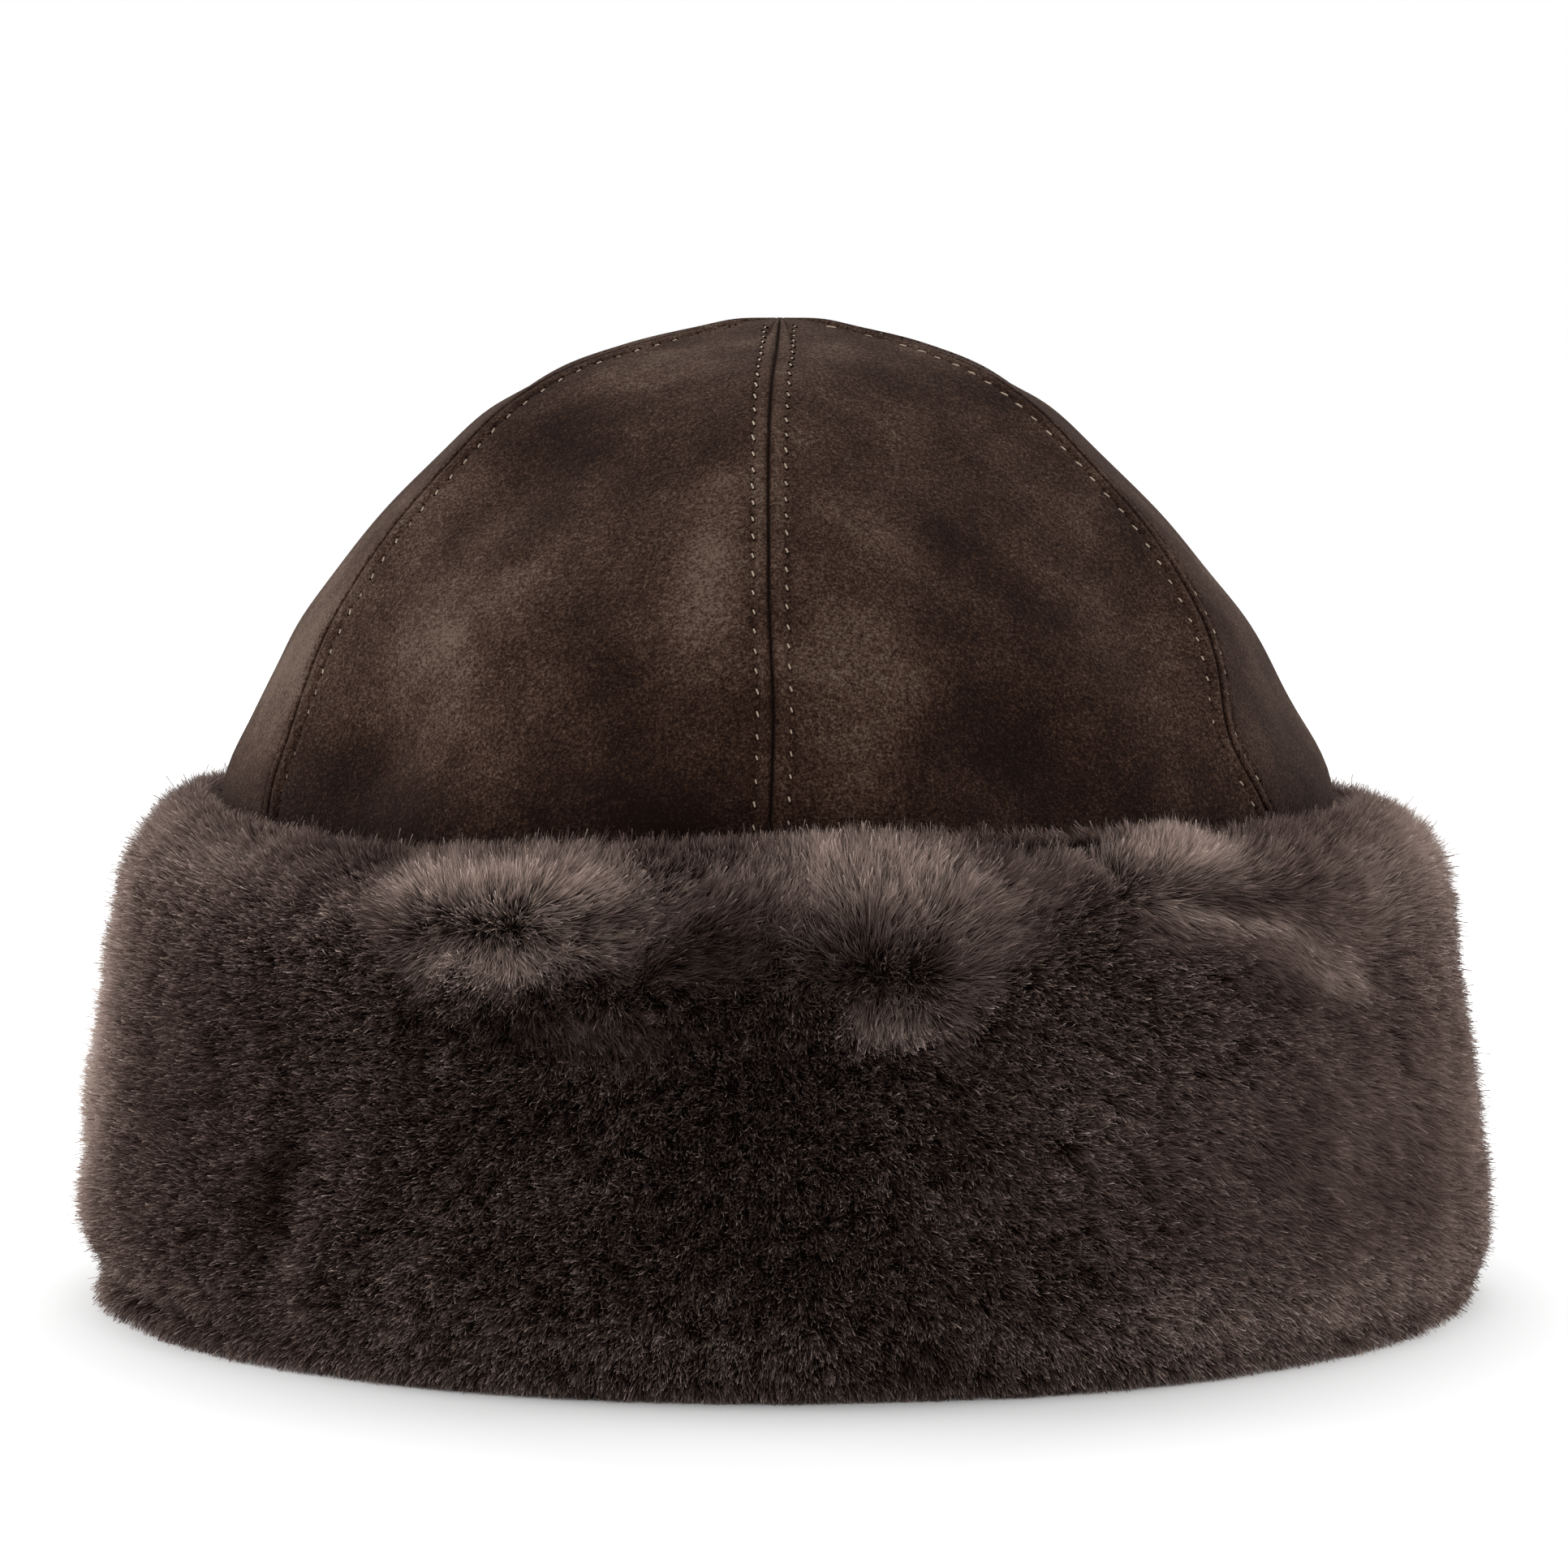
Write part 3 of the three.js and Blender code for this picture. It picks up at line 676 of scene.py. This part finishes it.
def crown_rows(count):
    """Sections of the crown from the hem to the tips, evenly spaced, with their normals."""
    rows = evened(CROWN_KNOTS, CROWN_SECTIONS, [0, 1], count)
    height, radius = rows[:, 0] * CROWN_HEIGHT, rows[:, 1] * CROWN_RADIUS
    along = np.stack([np.gradient(radius), np.gradient(height)], axis=-1)
    normal = unit(np.stack([along[:, 1], -along[:, 0]], axis=-1))
    normal[-1] = (0.0, 1.0)
    return {"height": height, "radius": radius, "flat": rows[:, 2],
            "lean": rows[:, 3] * CROWN_RADIUS, "normal": normal}


def section_lengths(rows):
    """The distance along the crown's side at each of its sections."""
    steps = np.hypot(np.diff(rows["radius"]), np.diff(rows["height"]))
    return np.concatenate([[0.0], np.cumsum(steps)])


def seam_relief(distance, along, row):
    """How far the suede stands out at a distance from a seam whose stitching is a row away."""
    groove = -0.75 * np.exp(-(distance / 0.30) ** 2)
    roll = 0.26 * np.exp(-((distance - 1.3) / 0.9) ** 2)
    pull = 0.75 + 0.25 * np.cos(2 * np.pi * along / STITCH_PITCH)
    sewn = -0.42 * pull * np.exp(-((distance - row) / 0.55) ** 2)
    return groove + roll + sewn


def crown_points(rows, azimuth, distance):
    """Points of the suede. azimuth and distance from the seam have a column for each place."""
    height, radius = rows["height"][:, None], rows["radius"][:, None]
    flat, lean = rows["flat"][:, None], rows["lean"][:, None]
    out_radius, out_height = rows["normal"][:, 0:1], rows["normal"][:, 1:2]
    share = height / CROWN_HEIGHT
    fade = np.minimum(radius / CROWN_WALL, 1.0)
    reach = radius * section_share(azimuth, flat)
    turned = azimuth + dent_at(SEAM_SHIFTS, azimuth, share)
    flat_place = place(turned, reach, height, lean)
    along = section_lengths(rows)[:, None]
    right_of_seam = azimuth % GORE_ANGLE < GORE_ANGLE / 2
    row = np.where(right_of_seam, STITCH_ROWS[1], STITCH_ROWS[-1])
    relief = seam_relief(distance, along, row) * fade
    relief = relief - dent_at(CROWN_DENTS, azimuth, share) * CROWN_WALL * fade
    soft = noise(flat_place, 38.0, 11) * 0.55 + noise(flat_place, 17.0, 12) * 0.28
    relief = relief + soft * np.minimum(distance / 6.0, 1.0) * fade
    return place(turned, reach + relief * out_radius, height + relief * out_height, lean)


# Where the points beside a seam lie, in millimetres from it.
NEAR_SEAM = np.array([0.0, 0.18, 0.36, 0.6, 0.95, 1.4, 1.85, 2.2, 2.5, 2.8, 3.1, 3.4, 3.8, 4.6, 6.0])
MIDDLE_COLUMNS = 16
SEAM_REACH = 0.97  # the mean radius of a partly flat section, as a share of its seams'


def gore_columns(rows, gore):
    """Azimuths and distances from the nearer seam, for each row of a gore."""
    reach = rows["radius"] * SEAM_REACH
    half = np.radians(GORE_ANGLE / 2) * reach
    squeeze = np.minimum(1.0, half / 14.0)[:, None]
    near = NEAR_SEAM[None, :] * squeeze
    middle = np.linspace(0, 1, MIDDLE_COLUMNS + 2)[None, 1:-1]
    inner = near[:, -1:] + (2 * half[:, None] - 2 * near[:, -1:]) * middle
    across = np.concatenate([near, inner, (2 * half[:, None] - near)[:, ::-1]], axis=1)
    azimuth = GORE_ANGLE * gore + np.degrees(across / np.maximum(reach, 1e-6)[:, None])
    distance = np.minimum(across, 2 * half[:, None] - across) / np.maximum(squeeze, 1e-6)
    return azimuth, distance


CROWN_ROWS = 120
INSIDE_STEP = 4  # the skin's inside has every fourth row only
OFF_SEAM = 99.0  # a distance at which no seam shows
GORE_NAMES = ["front_right", "right", "back_right", "back_left", "left", "front_left"]
ROWS = crown_rows(CROWN_ROWS)
ROW_LENGTHS = section_lengths(ROWS)


def make_gore(gore):
    """One gore's suede, with its cut lower edge and the thickness of the skin inside."""
    azimuth, distance = gore_columns(ROWS, gore)
    outer = crown_points(ROWS, azimuth, distance)
    share = (ROWS["height"] / CROWN_HEIGHT)[:, None] + 0 * azimuth
    # Patches of the nap, with painted light and shade.
    tone_and_shading = dent_at(CROWN_TONES_AND_SHADING, azimuth, share)
    # Darker along the seam: its dark joint, and painted shade in its groove.
    tone_and_shading = tone_and_shading - 1.1 * np.exp(-(distance / 0.26) ** 2)
    # A painted highlight on the roll of suede beside the seam.
    tone_and_shading = tone_and_shading + 0.20 * np.exp(-((distance - 1.6) / 0.9) ** 2)
    inside = crown_rows(CROWN_ROWS)
    thin = np.minimum(SKIN, 0.6 * inside["radius"])
    inside["radius"] = inside["radius"] - thin * inside["normal"][:, 0]
    inside["height"] = inside["height"] - thin * inside["normal"][:, 1]
    inner = crown_points(inside, azimuth, np.full_like(distance, OFF_SEAM))[::-1][::INSIDE_STEP]
    rows, columns = outer.shape[:2]
    points = np.concatenate([outer, inner]).reshape(-1, 3)
    faces = grid_faces(rows + len(inner), columns)
    name = f"suede_gore_{GORE_NAMES[gore]}"
    piece = make_mesh(name, points, faces, SUEDE)
    paint(piece, "tone_and_shading", np.concatenate([tone_and_shading, tone_and_shading[::-1][::INSIDE_STEP]]))
    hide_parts(f"crown_gore_{GORE_NAMES[gore]}")


for gore in range(GORES):
    make_gore(gore)


# The topstitching: two rows of short threads beside each seam.

# A thread has a ring of points at each step along it, sunk into the suede and thinner at its ends.
RING = 5
THREAD_STEPS = np.array([-1.0, -0.86, -0.4, 0.4, 0.86, 1.0])
THREAD_SINK = np.array([0.70, 0.20, 0.0, 0.0, 0.20, 0.70])
THREAD_GIRTH = np.array([0.5, 0.88, 1.0, 1.0, 0.88, 0.5])


def sections_at(sections, lengths, along):
    """The crown's sections at some distances along its side."""
    keys = ("height", "radius", "flat", "lean")
    rows = {key: np.interp(along, lengths, sections[key]) for key in keys}
    normal = sections["normal"]
    rows["normal"] = np.stack([np.interp(along, lengths, normal[:, k]) for k in (0, 1)], -1)
    return rows


def stitches_of(seam, side, rng):
    """The threads and needle holes of one row of stitching."""
    total = CROWN_KNOTS[-1]
    middles = np.arange(STITCH_START, total - STITCH_STOP, STITCH_PITCH)
    if side > 0:
        middles = middles + STITCH_AHEAD
    middles = middles + rng.uniform(-0.18, 0.18, len(middles))
    threads, holes = [], []
    for middle in middles:
        high = middle / total
        length = STITCH_LENGTH * (0.62 + 0.5 * max(0.0, high - 0.45)) * rng.uniform(0.85, 1.15)
        sunk = 0.14 * (1.0 - min(1.0, max(0.0, (high - 0.5) / 0.3)))
        if seam != 0:
            sunk += rng.uniform(0.0, 0.16)
        steps = middle + THREAD_STEPS * length / 2
        rows = sections_at(ROWS, ROW_LENGTHS, steps)
        reach = rows["radius"] * SEAM_REACH
        lean_over = STITCH_SLOPE * THREAD_STEPS * length / 2
        offset = side * STITCH_ROWS[side] - lean_over + rng.uniform(-0.08, 0.08)
        azimuth = GORE_ANGLE * seam + np.degrees(offset / np.maximum(reach, 1.0))
        distance = np.abs(offset)
        lift = THREAD_RADIUS * 0.95 - THREAD_SINK - sunk
        centre = np.array([
            crown_points({k: v[i:i + 1] for k, v in rows.items()},
                         azimuth[i:i + 1][None], distance[i:i + 1][None])[0, 0]
            for i in range(len(steps))])
        out = to_space(azimuth, rows["normal"])
        centre = centre + out * lift[:, None]
        ahead = unit(np.gradient(centre, axis=0))
        side_way = unit(np.cross(ahead, out))
        up_way = np.cross(side_way, ahead)
        ring = np.linspace(0, 2 * np.pi, RING, endpoint=False)
        girth = (THREAD_RADIUS * THREAD_GIRTH)[:, None, None]
        threads.append(centre[:, None] + girth * (np.cos(ring)[None, :, None] * side_way[:, None]
                                                  + np.sin(ring)[None, :, None] * up_way[:, None]))
        for end in (0, -1):
            middle_point = centre[end] - out[end] * (lift[end] - 0.05)
            disc = [middle_point + 0.02 * out[end]]
            for angle in ring:
                disc.append(middle_point + HOLE_SIZE[0] * math.cos(angle) * side_way[end]
                            + HOLE_SIZE[1] * math.sin(angle) * ahead[end])
            holes.append(np.array(disc))
    return threads, holes


def make_stitching():
    """The threads and needle holes beside each seam."""
    rng = np.random.default_rng(31)
    for seam in range(GORES):
        threads, holes = [], []
        for side in (-1, 1):
            more_threads, more_holes = stitches_of(seam, side, rng)
            threads += more_threads
            holes += more_holes
        tube = grid_faces(len(THREAD_STEPS), RING, closed=True)
        count = len(THREAD_STEPS) * RING
        points = np.concatenate([t.reshape(-1, 3) for t in threads])
        faces = np.concatenate([tube + i * count for i in range(len(threads))])
        piece = make_mesh(f"topstitching_{seam + 1}", points, faces, THREAD)
        fan = np.array([(0, 1 + i, 1 + (i + 1) % RING) for i in range(RING)])
        points = np.concatenate(holes)
        faces = np.concatenate([fan + i * (RING + 1) for i in range(len(holes))])
        piece = make_mesh(f"needle_holes_{seam + 1}", points, faces, HOLE)


make_stitching()


# The cuff. Its profile runs from the inner lip along the floor, up outside and in over the rim.

OUTER = np.array([(CROWN_RADIUS + CUFF_GAP + t * CUFF_THICKNESS, h * CUFF_HEIGHT)
                  for h, t in CUFF_PROFILE])
INNER_RADIUS = CROWN_RADIUS - CROWN_WALL
LIP = np.array([
    (INNER_RADIUS + 1.5, HEM_HEIGHT + 0.5),
    (INNER_RADIUS - 0.3, HEM_HEIGHT / 2 + 0.5),
    (INNER_RADIUS + 1.4, 1.2),
    (INNER_RADIUS + CUFF_TUCK + 2.0, 0.0),
    (INNER_RADIUS + CUFF_TUCK + 12.0, 0.0),
])
PROFILE = np.concatenate([LIP, OUTER])
PROFILE_KNOTS = lengths_along(PROFILE)
PROFILE_LENGTH = PROFILE_KNOTS[-1]


def profile_at(along):
    """Radius, height, outward and forward direction of the cuff's mean surface on its profile."""
    here = hermite(PROFILE_KNOTS, PROFILE, along)
    step = 0.4
    before = hermite(PROFILE_KNOTS, PROFILE, np.clip(along - step, 0, PROFILE_LENGTH))
    after = hermite(PROFILE_KNOTS, PROFILE, np.clip(along + step, 0, PROFILE_LENGTH))
    way = unit(after - before)
    return here[..., 0], here[..., 1], np.stack([way[..., 1], -way[..., 0]], -1), way


def fur_relief(azimuth, radius, height, outwards):
    """How far the fur stands over its mean surface, in millimetres."""
    share = height / CUFF_HEIGHT
    outside = np.clip(outwards[..., 0] * 2 + 1, 0, 1)
    open_air = np.clip((height - 1.0) / 9.0, 0.0, 1.0) * outside
    folds = -dent_at(FUR_FOLDS, azimuth, share) * CUFF_THICKNESS
    folds = folds * np.clip(height / 5.0, 0.0, 1.0) * outside
    at = place(azimuth, radius, height)
    lumps = (noise(at, 19.0, 3) * 0.9 + noise(at, 9.0, 4) * 0.75 + noise(at, 4.5, 5) * 0.4)
    return folds + lumps * open_air


def fur_surface(azimuth, along):
    """Points on the fur's bed, the directions out, up and to the right, and shares of the height."""
    radius, height, outwards, way = profile_at(along)
    deep = FUR_DEPTH * np.clip(0.35 + height / 6.0, 0.35, 1.0)
    relief = fur_relief(azimuth, radius, height, outwards) - deep
    sag = dent_at(RIM_SAGS, azimuth, height / CUFF_HEIGHT) * CUFF_HEIGHT
    level = height + relief * outwards[..., 1] - sag
    points = place(azimuth, radius + relief * outwards[..., 0], np.maximum(level, 0.4))
    out = unit(to_space(azimuth, outwards))
    up = unit(to_space(azimuth, way))
    return points, out, up, to_the_right(azimuth), height / CUFF_HEIGHT


def make_bed():
    """The bed that the fur stands on, in two halves, painted dark as shade deep in the fur."""
    rows, columns = 64, 150
    along = np.linspace(0, PROFILE_LENGTH, rows)[:, None]
    for name, start in (("right", 0.0), ("left", 180.0)):
        azimuth = start + np.linspace(0.0, 180.0, columns)[None, :]
        azimuth, far = np.broadcast_arrays(azimuth, along)
        points = fur_surface(azimuth, far)[0]
        piece = make_mesh(f"fur_bed_{name}", points.reshape(-1, 3), grid_faces(rows, columns), SHADED_BED)
        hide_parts(f"cuff_{name}")


make_bed()


def fur_lay(azimuth, share):
    """How the fur lies: to the right, up, and the painted light on it at the partings."""
    right, up = np.zeros_like(azimuth), np.zeros_like(azimuth)
    tone_and_shading = np.zeros_like(azimuth)
    for middle, width, level, span, to_right, upwards in FUR_LAYS:
        across = turn_between(middle, azimuth) / width
        along = (share - level) / span
        weight = np.exp(-across * across - along * along)
        right += to_right * weight
        up += upwards * weight
    scale = np.array([math.radians(1.0) * (CROWN_RADIUS + CUFF_THICKNESS), CUFF_HEIGHT])
    for line, above, below, lay, light in PARTINGS:
        middle = line[0][0]
        at = np.stack([turn_between(middle, azimuth), share], -1) * scale
        level_place = np.stack([at[:, 0], at[:, 1], 0 * at[:, 0]], -1)
        wander = noise_pair(level_place, 5.5, 61) * 1.7
        at = at + wander + noise_pair(level_place, 2.2, 63) * 0.7
        points = (np.array(line) - (middle, 0.0)) * scale
        nearest = np.full(len(at), 1e9)
        away = np.zeros_like(at)
        for start, stop in zip(points[:-1], points[1:]):
            run = stop - start
            part = np.clip(((at - start) @ run) / (run @ run), 0.0, 1.0)
            gap = at - start - part[:, None] * run
            far = np.linalg.norm(gap, axis=-1)
            closer = far < nearest
            nearest = np.where(closer, far, nearest)
            away = np.where(closer[:, None], gap, away)
        way = unit(away)
        over = np.clip(way[:, 1] * 1.2 + 0.5, 0.0, 1.0)
        reach = below + (above - below) * over
        ragged = 1.0 + 0.34 * noise(level_place, 6.5, 51) + 0.26 * noise(level_place, 2.6, 52)
        far = nearest / (reach * ragged)
        held = np.exp(-far ** 3)
        push = lay * held * np.clip(nearest / 5.0, 0, 1)
        right += push * way[:, 0]
        up += push * way[:, 1]
        # Painted light on the fur that lies away from a parting.
        tone_and_shading += light * held * np.clip(0.5 + nearest / 3.0, 0, 1)
    return right, up, tone_and_shading


def clumped(tip, out, clump, rng):
    """Tips that are drawn sideways towards the middles of small clumps."""
    bend = np.stack([noise(tip, 2.4 * clump, seed) for seed in (41, 42, 43)], -1)
    bent = tip / clump + 0.9 * bend
    key = np.floor(bent + 0.5)
    cells = key.astype(np.int64)
    centre = key + 0.35 * (np.stack([hashed(cells, seed) for seed in (1, 2, 3)], -1) - 0.5)
    offset = (centre - bent) * clump
    offset = offset - out * np.sum(offset * out, -1, keepdims=True)
    pull = 0.42 * rng.uniform(0.3, 1.0, len(tip))
    return tip + offset * pull[:, None]


def wisp_tips(root, out, up, right, lay_right, lay_up, length, clump, rng):
    """The tips of wisps that lean as the fur lies at their roots."""
    laid = np.hypot(lay_right, lay_up)
    combed = np.clip(laid, 0.0, 1.2)[:, None]
    flow = noise_pair(root, 12.0, 21) * 0.18
    small = noise_pair(root, 1.4, 23) * (0.38 + 0.18 * combed)
    flow = flow + noise_pair(root, 4.6, 27) * 0.42 * combed
    own = rng.normal(0.0, 1.0, (len(root), 2)) * (0.22 + 0.07 * combed)
    lean_right = flow[:, 0] + small[:, 0] + own[:, 0] + lay_right
    lean_up = flow[:, 1] + small[:, 1] + own[:, 1] + lay_up - 0.15
    way = unit(out + right * lean_right[:, None] + up * lean_up[:, None])
    long = length * (1.0 + 0.08 * noise(root, 4.5, 25) + 0.14 * noise(root, 1.3, 26))
    long = long * (1.0 + rng.normal(0, 0.09, len(root)))
    long = long * (1.0 + 0.26 * np.minimum(laid, 1.4))
    long = long * np.where(rng.random(len(root)) < 0.1, 1.25, 1.0)
    tip = clumped(root + way * long[:, None], out, clump, rng)
    tip[:, 2] = np.maximum(tip[:, 2], TIP_GAP)
    return tip


def wisp_shades(root, tip, azimuth, share, tone_and_shading, calm, blunt, rng):
    """How light each wisp is, from 0 to 1: painted light and shade from the tables and partings,
    and tone that differs at random.
    """
    shade = 0.34 + dent_at(FUR_TONES_AND_SHADING, azimuth, share) + tone_and_shading
    shade = shade + 0.08 * noise(root, 15.0, 31) + 0.06 * noise(root, 5.0, 32)
    shade = shade + (0.16 + 0.08 * calm) * noise(tip, 0.9, 33) - np.where(blunt, 0.08, 0.0)
    own = rng.normal(0, 1.0, len(root)) * (0.14 + 0.12 * calm)
    return np.clip(shade + own, 0.02, 0.98)


def make_wisps(name, material, azimuth, along, rng, surface, length, width, clump):
    """One piece of fur: at each place a wisp, pointed or blunt, that leans as the fur lies there."""
    count = len(azimuth)
    root, out, up, right, share = surface(azimuth, along)
    lay_right, lay_up, tone_and_shading = fur_lay(azimuth, share)
    tip = wisp_tips(root, out, up, right, lay_right, lay_up, length, clump, rng)
    way = unit(tip - root)
    facing = rng.normal(0, 1.0, (count, 3)) * 0.75 + out
    across = unit(np.cross(way, facing))
    wide = width * rng.uniform(0.7, 1.3, count)[:, None]
    # Sheared hairs have blunt ends, and the long ones of the tufts are pointed.
    calm = np.clip(1.0 - np.hypot(lay_right, lay_up) / 0.6, 0.0, 1.0)
    calm = calm * np.clip((0.97 - share) / 0.2, 0.15, 1.0)
    blunt = rng.random(count) < 0.05 + 0.6 * calm
    wide = wide * np.where(blunt, 0.68, 1.0)[:, None]
    broad_end = np.where(blunt[:, None], tip, root)
    points = np.empty((count, 3, 3))
    points[:, 0] = broad_end - across * wide / 2
    points[:, 1] = broad_end + across * wide / 2
    points[:, 2] = np.where(blunt[:, None], root, tip)
    points[..., 2] = np.maximum(points[..., 2], FLOOR_GAP)
    faces = np.arange(count * 3).reshape(-1, 3)
    piece = make_mesh(name, points.reshape(-1, 3), faces, material, smooth=False)
    uv = np.empty((count, 3, 2), dtype=np.float32)
    uv[..., 0] = wisp_shades(root, tip, azimuth, share, tone_and_shading, calm, blunt, rng)[:, None]
    uv[:, 0:2, 1] = np.where(blunt, 0.98, 0.02)[:, None]
    uv[:, 2, 1] = np.where(blunt, 0.02, 0.98)
    layer = piece.data.uv_layers.new(name="OFBake")
    layer.data.foreach_set("uv", uv.ravel())


# Each sector's first azimuth, its width and its number of wisps.
SECTORS = [
    ("front_left", -60.0, 60.0, 185000),
    ("front_right", 0.0, 60.0, 185000),
    ("right", 60.0, 60.0, 110000),
    ("left", -120.0, 60.0, 110000),
    ("back_right", 120.0, 60.0, 75000),
    ("back_left", 180.0, 60.0, 75000),
]


def make_fur():
    """The cuff's fur, a piece for each sector."""
    for index, (name, start, turn, count) in enumerate(SECTORS):
        rng = np.random.default_rng(100 + index)
        azimuth = start + turn * rng.random(count)
        chance = rng.random(count)
        # There are fewer wisps under the hat and behind the rim than outside.
        fine = np.linspace(0, PROFILE_LENGTH, 400)
        radius, height = profile_at(fine)[:2]
        weight = radius * np.where(height < 0.8, 0.35, 1.0) * np.where(radius < 96.5, 0.5, 1.0)
        total = np.cumsum(weight)
        along = np.interp(chance, total / total[-1], fine)
        make_wisps(f"cuff_fur_{name}", FUR, azimuth, along, rng, fur_surface,
                   FUR_LENGTH, FUR_WIDTH, FUR_CLUMP)


make_fur()


# The fleece inside the crown.

INSIDE = crown_rows(400)
INSIDE_LENGTHS = section_lengths(INSIDE)
FLEECE_BOTTOM = 1.5
FLEECE_TOP = INSIDE_LENGTHS[-1] - 1.0
FLEECE_WISPS = 62000
OFF_CUFF = 2.5  # a share of the cuff's height at which its tables leave the fleece as it is


def fleece_surface(azimuth, along):
    """Points at the bed of the fleece, and the directions into the hat, up and to the right."""
    rows = sections_at(INSIDE, INSIDE_LENGTHS, along)
    normal = rows["normal"]
    deep = CROWN_WALL - FLEECE_DEPTH
    reach = rows["radius"] * section_share(azimuth, rows["flat"]) - deep * normal[..., 0]
    height = rows["height"] - deep * normal[..., 1]
    points = place(azimuth, np.clip(reach, 0.3, None), height, rows["lean"])
    out = -unit(to_space(azimuth, normal))
    up = unit(to_space(azimuth, np.stack([-normal[..., 1], normal[..., 0]], -1)))
    return points, out, up, to_the_right(azimuth), np.full_like(azimuth, OFF_CUFF)


def make_fleece():
    """The fleece's bed and its wisps."""
    rows, columns = 44, 96
    along = np.linspace(FLEECE_BOTTOM, FLEECE_TOP, rows)[:, None]
    azimuth = np.linspace(0.0, 360.0, columns, endpoint=False)[None, :]
    azimuth, far = np.broadcast_arrays(azimuth, along)
    points = fleece_surface(azimuth, far)[0]
    faces = grid_faces(rows, columns, closed=True)[:, ::-1]
    piece = make_mesh("fleece_bed", points.reshape(-1, 3), faces, SHADED_BED)
    rng = np.random.default_rng(500)
    fine = np.linspace(FLEECE_BOTTOM, FLEECE_TOP, 500)
    total = np.cumsum(np.interp(fine, INSIDE_LENGTHS, INSIDE["radius"]))
    far = np.interp(rng.random(FLEECE_WISPS), total / total[-1], fine)
    azimuth = 360.0 * rng.random(FLEECE_WISPS)
    make_wisps("fleece", FLEECE, azimuth, far, rng, fleece_surface,
               FLEECE_LENGTH, FLEECE_WIDTH, FLEECE_CLUMP)


make_fleece()


# The floor, the light and the camera.

FLOOR_HALF = 6.0


def make_floor():
    """A pale floor with painted light: it glows away from the hat and fades into the white around
    it.
    """
    n = Nodes("floor", roughness=0.9)
    n.shader.inputs["Base Color"].default_value = (0.74, 0.74, 0.74, 1.0)
    n.shader.inputs["Emission Color"].default_value = (1.0, 1.0, 1.0, 1.0)
    where = n.add("ShaderNodeTexCoord").outputs["Object"]
    # The painted glow starts outside the hat's shadow, which is longer to the front than to the
    # sides.
    scaled = n.add("ShaderNodeVectorMath", {0: where, 1: (2.35, 0.8, 1.0)}, operation="MULTIPLY")
    far = n.add("ShaderNodeVectorMath", {0: scaled.outputs["Vector"]}, operation="LENGTH")
    glow = n.add("ShaderNodeMapRange", {"Value": far.outputs["Value"], "From Min": 0.16,
                                        "From Max": 0.38, "To Min": 0.0, "To Max": 0.30})
    n.link(glow.outputs["Result"], n.shader, "Emission Strength")
    n.shader.inputs["Specular IOR Level"].default_value = 0.1
    mesh = bpy.data.meshes.new("floor")
    mesh.from_pydata([(-FLOOR_HALF, -FLOOR_HALF, 0), (FLOOR_HALF, -FLOOR_HALF, 0),
                      (FLOOR_HALF, FLOOR_HALF, 0), (-FLOOR_HALF, FLOOR_HALF, 0)],
                     [], [(0, 1, 2, 3)])
    mesh.materials.append(n.material)
    floor = bpy.data.objects.new("floor", mesh)
    bpy.context.scene.collection.objects.link(floor)


def make_light(name, place_at, target, size, power):
    """A soft rectangular lamp."""
    data = bpy.data.lights.new(name, "AREA")
    data.shape = "RECTANGLE"
    data.size, data.size_y = size
    data.energy = power
    lamp = bpy.data.objects.new(name, data)
    lamp.location = place_at
    lamp.rotation_euler = (Vector(target) - Vector(place_at)).to_track_quat("-Z", "Y").to_euler()
    bpy.context.scene.collection.objects.link(lamp)


def make_world(strength):
    """White light from all around."""
    world = bpy.data.worlds.new("studio")
    world.use_nodes = True
    background = world.node_tree.nodes["Background"]
    background.inputs["Color"].default_value = (1.0, 1.0, 1.0, 1.0)
    background.inputs["Strength"].default_value = strength
    bpy.context.scene.world = world


HAT_MIDDLE = (0, 0, 0.08)

make_floor()
make_world(1.0)
make_light("top", (-0.05, 0.35, 1.3), HAT_MIDDLE, (1.5, 1.0), 5.0)
make_light("left", (-1.15, 0.35, 0.5), HAT_MIDDLE, (0.8, 0.9), 10.0)
make_light("right", (1.15, 0.35, 0.5), HAT_MIDDLE, (0.8, 0.9), 7.0)

# The camera's place and lens, in metres and pixels.
IMAGE_SIZE = 1932
FOCAL_PIXELS = 9140.0
CAMERA_SIDE = 0.0009
CAMERA_HEIGHT = 0.204
CAMERA_DISTANCE = 1.35
LOOK_AT_HEIGHT = 0.093

data = bpy.data.cameras.new("camera")
data.sensor_fit = "HORIZONTAL"
data.sensor_width = 36.0
data.lens = FOCAL_PIXELS / IMAGE_SIZE * data.sensor_width
data.clip_start, data.clip_end = 0.05, 50.0
camera = bpy.data.objects.new("camera", data)
camera.location = (CAMERA_SIDE, -CAMERA_DISTANCE, CAMERA_HEIGHT)
aim = Vector((CAMERA_SIDE, 0.0, LOOK_AT_HEIGHT)) - camera.location
camera.rotation_euler = aim.to_track_quat("-Z", "Y").to_euler()
bpy.context.scene.collection.objects.link(camera)
bpy.context.scene.camera = camera
bpy.context.scene.view_settings.view_transform = "Standard"
